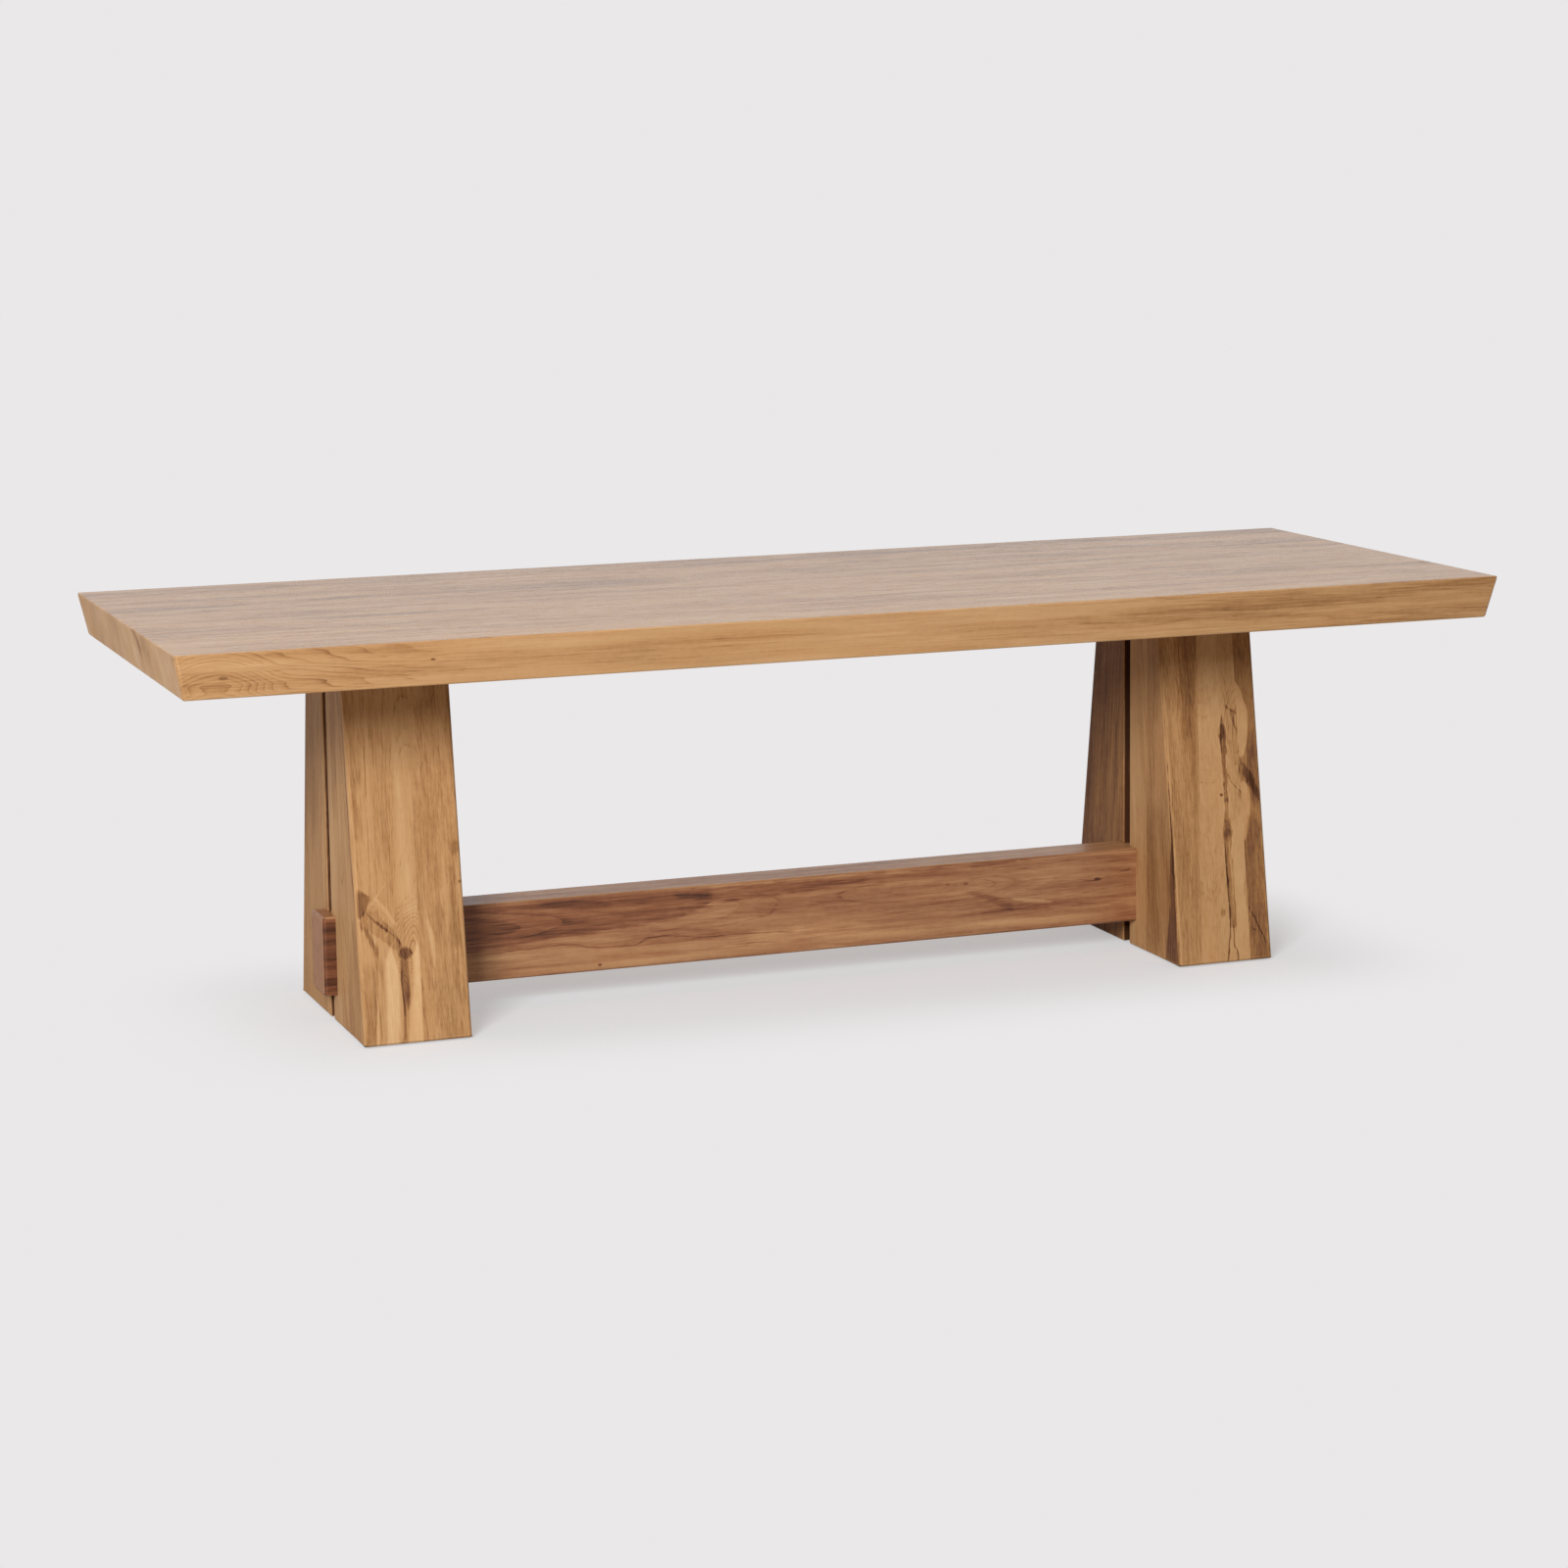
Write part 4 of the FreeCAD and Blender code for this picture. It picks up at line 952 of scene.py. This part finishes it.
for name in posts:
    low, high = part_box(name)
    centre = (low + high) / 2 / MM
    outward = 1 if centre.y > 0 else -1
    # the back right post gets painted shade, darker all over
    darker = BACK_RIGHT_SHADE if name.startswith("right_back") else 0.0
    sawn = dict(
        pith=(
            centre.x + dice.uniform(-60, 60),
            centre.y - outward * dice.uniform(70, 130),
            centre.z,
        ),
        tilt=(outward * dice.uniform(2, 6), dice.uniform(-1.5, 1.5)),
        seed=dice.uniform(0, 20),
        figure=0.7,
        shine=0.05,
        tone=0.50 + dice.uniform(-0.09, 0.09) + darker,
    )
    sawn.update(SPECIAL_POSTS.get(name, {}))
    dress(name, oiled_oak("planed_oak_" + name, "z", **sawn))
print(len(posts), "pieces in the four posts")

# %% [markdown]
# ## The stretcher
#
# The stretcher is one solid beam, cut from browner heartwood, with a paler strip of younger wood
# along its lower edge.

# %% Stretcher
STRETCHER_STREAKS = (
    # dark heartwood along the upper left, ending in fingers
    ("z", 6, 0.20, (-880, 164, 52), (-674, 164, 50), (-597, 168, 50), (-500, 171, 44),
      (-392, 175, 42), (-278, 180, 38), (-180, 192, 6)),
    # shade under it, a brown upper edge, the dark end past the trestle, and a paler upper face that
    # is painted sheen
    ("z", 14, 0.04, (-880, 150, 60), (-740, 145, 30), (-660, 140, 24), (-580, 150, 6)),
    ("z", 12, 0.12, (-220, 185, 20), (-60, 190, 18), (120, 196, 12), (240, 200, 4)),
    ("z", 2, 0.35, (-980, 132, 90), (-930, 132, 90), (-880, 132, 90)),
    # the upper face is paler, most on the right: painted sheen
    ("y", 2, -0.10, (-950, 0, 60), (0, 0, 60), (950, 0, 60)),
    ("y", 2, -0.06, (250, 0, 60), (600, 0, 60), (950, 0, 60)),
    # a paler lower middle, and dark patches from left to right
    ("z", 12, -0.12, (-120, 100, 20), (100, 95, 26), (400, 80, 16), (700, 75, 14)),
    ("z", 8, 0.12, (-540, 200, 6), (-450, 192, 12), (-380, 186, 2)),
    ("z", 6, 0.18, (-270, 196, 4), (-213, 185, 10), (-160, 176, 8), (-120, 172, 2)),
    ("z", 4, 0.16, (40, 205, 1), (270, 203, 5), (400, 203, 6), (465, 203, 3)),
    ("z", 6, 0.14, (345, 150, 2), (400, 132, 9), (430, 118, 12), (460, 104, 4)),
    ("z", 2.5, 0.14, (380, 101, 2), (500, 104, 3), (620, 100, 2.5), (720, 90, 1)),
    # the thin dark line, and a second one under it
    ("z", 1.5, 0.20, (-674, 111, 1.5), (-616, 109, 1.5), (-597, 113, 2), (-491, 114, 1.5),
      (-432, 105, 2), (-353, 101, 2), (-324, 110, 2.5), (-279, 114, 2), (-224, 107, 1.5),
      (-103, 104, 2), (19, 96, 0.5)),
    # the paler strip along the lower edge, and small dark branch marks
    ("z", 14, -0.10, (-760, 84, 26), (-600, 84, 26), (-300, 80, 22), (0, 74, 14)),
    ("z", 1.3, 0.22, (-190, 85, 0.5), (-103, 85, 1.4), (-50, 84, 0.5)),
    ("z", 1.5, 0.24, (590, 158, 1), (640, 149, 1.5), (668, 164, 1)),
    ("z", 2, 0.26, (680, 156, 1), (700, 164, 2), (715, 168, 1)),
    # pale new wood round the ends of two small branches
    ("z", 4, -0.22, (445, 126, 2), (493, 118, 6), (545, 112, 2)),
    ("z", 10, -0.05, (-960, 80, 20), (-600, 84, 22), (-300, 80, 18), (0, 76, 10)),
)
dress(
    "stretcher",
    oiled_oak(
        "planed_brown_oak_stretcher",
        "x",
        pith=(0, 60, 160),
        tilt=(-1.6, 0.4),
        seed=6.4,
        tone=0.50,
        sway=9.0,
        figure=0.85,
        band=(16.0, 260.0),
        fibre=(3.0, 70.0),
        shades=BROWN_OAK_SHADES,
        polish=0.34,
        shine=0.28,
        marks=0.08,
        knots=(
            ((290, -46, 164), (80, 60, 11), -2.4, 0.0),
            ((351, -46, 165), (5, 20, 2.5), 0.4, 0.22),
            ((312, -46, 166), (4, 20, 2), 0.4, 0.16),
            ((640, -46, 151), (7, 20, 3), -1.5, 0.35),
            ((-414, -46, 69), (4, 20, 3), 0.4, 0.4),
        ),
        streaks=STRETCHER_STREAKS,
    ),
)
print("stretcher done")

# %% [markdown]
# ## Under the top
#
# The bearers, the middle batten and the glue blocks are of plainer oak, planed but not chosen for
# their figure. The dowels are beech, turned, pale and close-grained.

# %% Hidden timber
for name in ("left_bearer", "right_bearer", "middle_batten"):
    low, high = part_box(name)
    centre = (low + high) / 2 / MM
    dress(
        name,
        oiled_oak(
            "planed_oak_" + name,
            "y",
            pith=(centre.x + dice.uniform(-40, 40), 0, centre.z - 90),
            tilt=(0.8, 1.0),
            seed=dice.uniform(0, 20),
            tone=0.50,
        ),
    )
for name in sorted(n for n in solids if n.startswith("glue_block")):
    low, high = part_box(name)
    centre = (low + high) / 2 / MM
    dress(
        name,
        oiled_oak(
            "sawn_oak_" + name,
            "z",
            pith=(centre.x - 60, centre.y + 20, centre.z),
            seed=dice.uniform(0, 20),
            tone=0.48,
        ),
    )


def turned_beech(name):
    """Turned beech: pale, even and close-grained, with short flecks along the dowel."""
    material, tree = blank_material(name)
    place = add(tree, "TexCoord", take="Object")
    drawn_out = add(tree, "VectorMath", {0: place, 1: (0.12, 1.0, 1.0)}, operation="MULTIPLY")
    fleck = add(tree, "TexNoise", {"Vector": drawn_out, "Scale": 900.0, "Detail": 2.0})
    sockets = {"Factor": fleck, "A": linear("#E3C59B"), "B": linear("#C79E70")}
    colour = add(tree, "Mix", sockets, data_type="RGBA")
    grain = add(tree, "Bump", {"Strength": 0.2, "Distance": 0.1 * MM, "Height": fleck})
    sockets = {"Base Color": colour, "Roughness": 0.6, "IOR": 1.5, "Normal": grain}
    wood = add(tree, "BsdfPrincipled", sockets)
    add(tree, "OutputMaterial", {"Surface": wood})
    return material


beech = turned_beech("turned_beech")
for name in ("stretcher_dowels", "head_dowels"):
    dress(name, beech)
print("bearers, batten, glue blocks and dowels done")

# %% [markdown]
# ## Steel and felt
#
# The bolts, washers, inserts and coach screws are zinc plated: a bluish grey metal with the faint
# crystal patches that plating leaves. The pads under the posts are pressed wool felt, with no
# shine and a tangle of short fibres.

# %% Steel and felt
def zinc_plated_steel(name):
    """Zinc plated steel: cool grey, half dull, in patches a few millimetres wide."""
    material, tree = blank_material(name)
    place = add(tree, "TexCoord", take="Object")
    patch = add(tree, "TexVoronoi", {"Vector": place, "Scale": 450.0}, take="Color")
    patch = add(tree, "RGBToBW", {0: patch})
    sockets = {"Factor": patch, "A": linear("#A9AFB4"), "B": linear("#C9CDD0")}
    colour = add(tree, "Mix", sockets, data_type="RGBA")
    dull = add(tree, "MapRange", {"Value": patch, "To Min": 0.32, "To Max": 0.48})
    sockets = {"Base Color": colour, "Metallic": 1.0, "Roughness": dull}
    steel = add(tree, "BsdfPrincipled", sockets)
    add(tree, "OutputMaterial", {"Surface": steel})
    return material


def pressed_felt(name):
    """Pressed wool felt: grey-brown, dull, and fuzzy from short fibres 1 mm across."""
    material, tree = blank_material(name)
    place = add(tree, "TexCoord", take="Object")
    fibre = add(tree, "TexNoise", {"Vector": place, "Scale": 1000.0, "Detail": 4.0})
    sockets = {"Factor": fibre, "A": linear("#4A4038"), "B": linear("#7A6C5E")}
    colour = add(tree, "Mix", sockets, data_type="RGBA")
    fuzz = add(tree, "Bump", {"Strength": 0.6, "Distance": 0.4 * MM, "Height": fibre})
    felt = add(
        tree,
        "BsdfPrincipled",
        {"Base Color": colour, "Roughness": 0.95, "IOR": 1.5, "Sheen Weight": 0.3, "Normal": fuzz},
    )
    add(tree, "OutputMaterial", {"Surface": felt})
    return material


steel = zinc_plated_steel("zinc_plated_steel")
for name in ("insert_nuts", "bolt_washers", "head_bolts", "top_screws"):
    dress(name, steel)
dress("felt_pads", pressed_felt("pressed_wool_felt"))
print("steel and felt done")
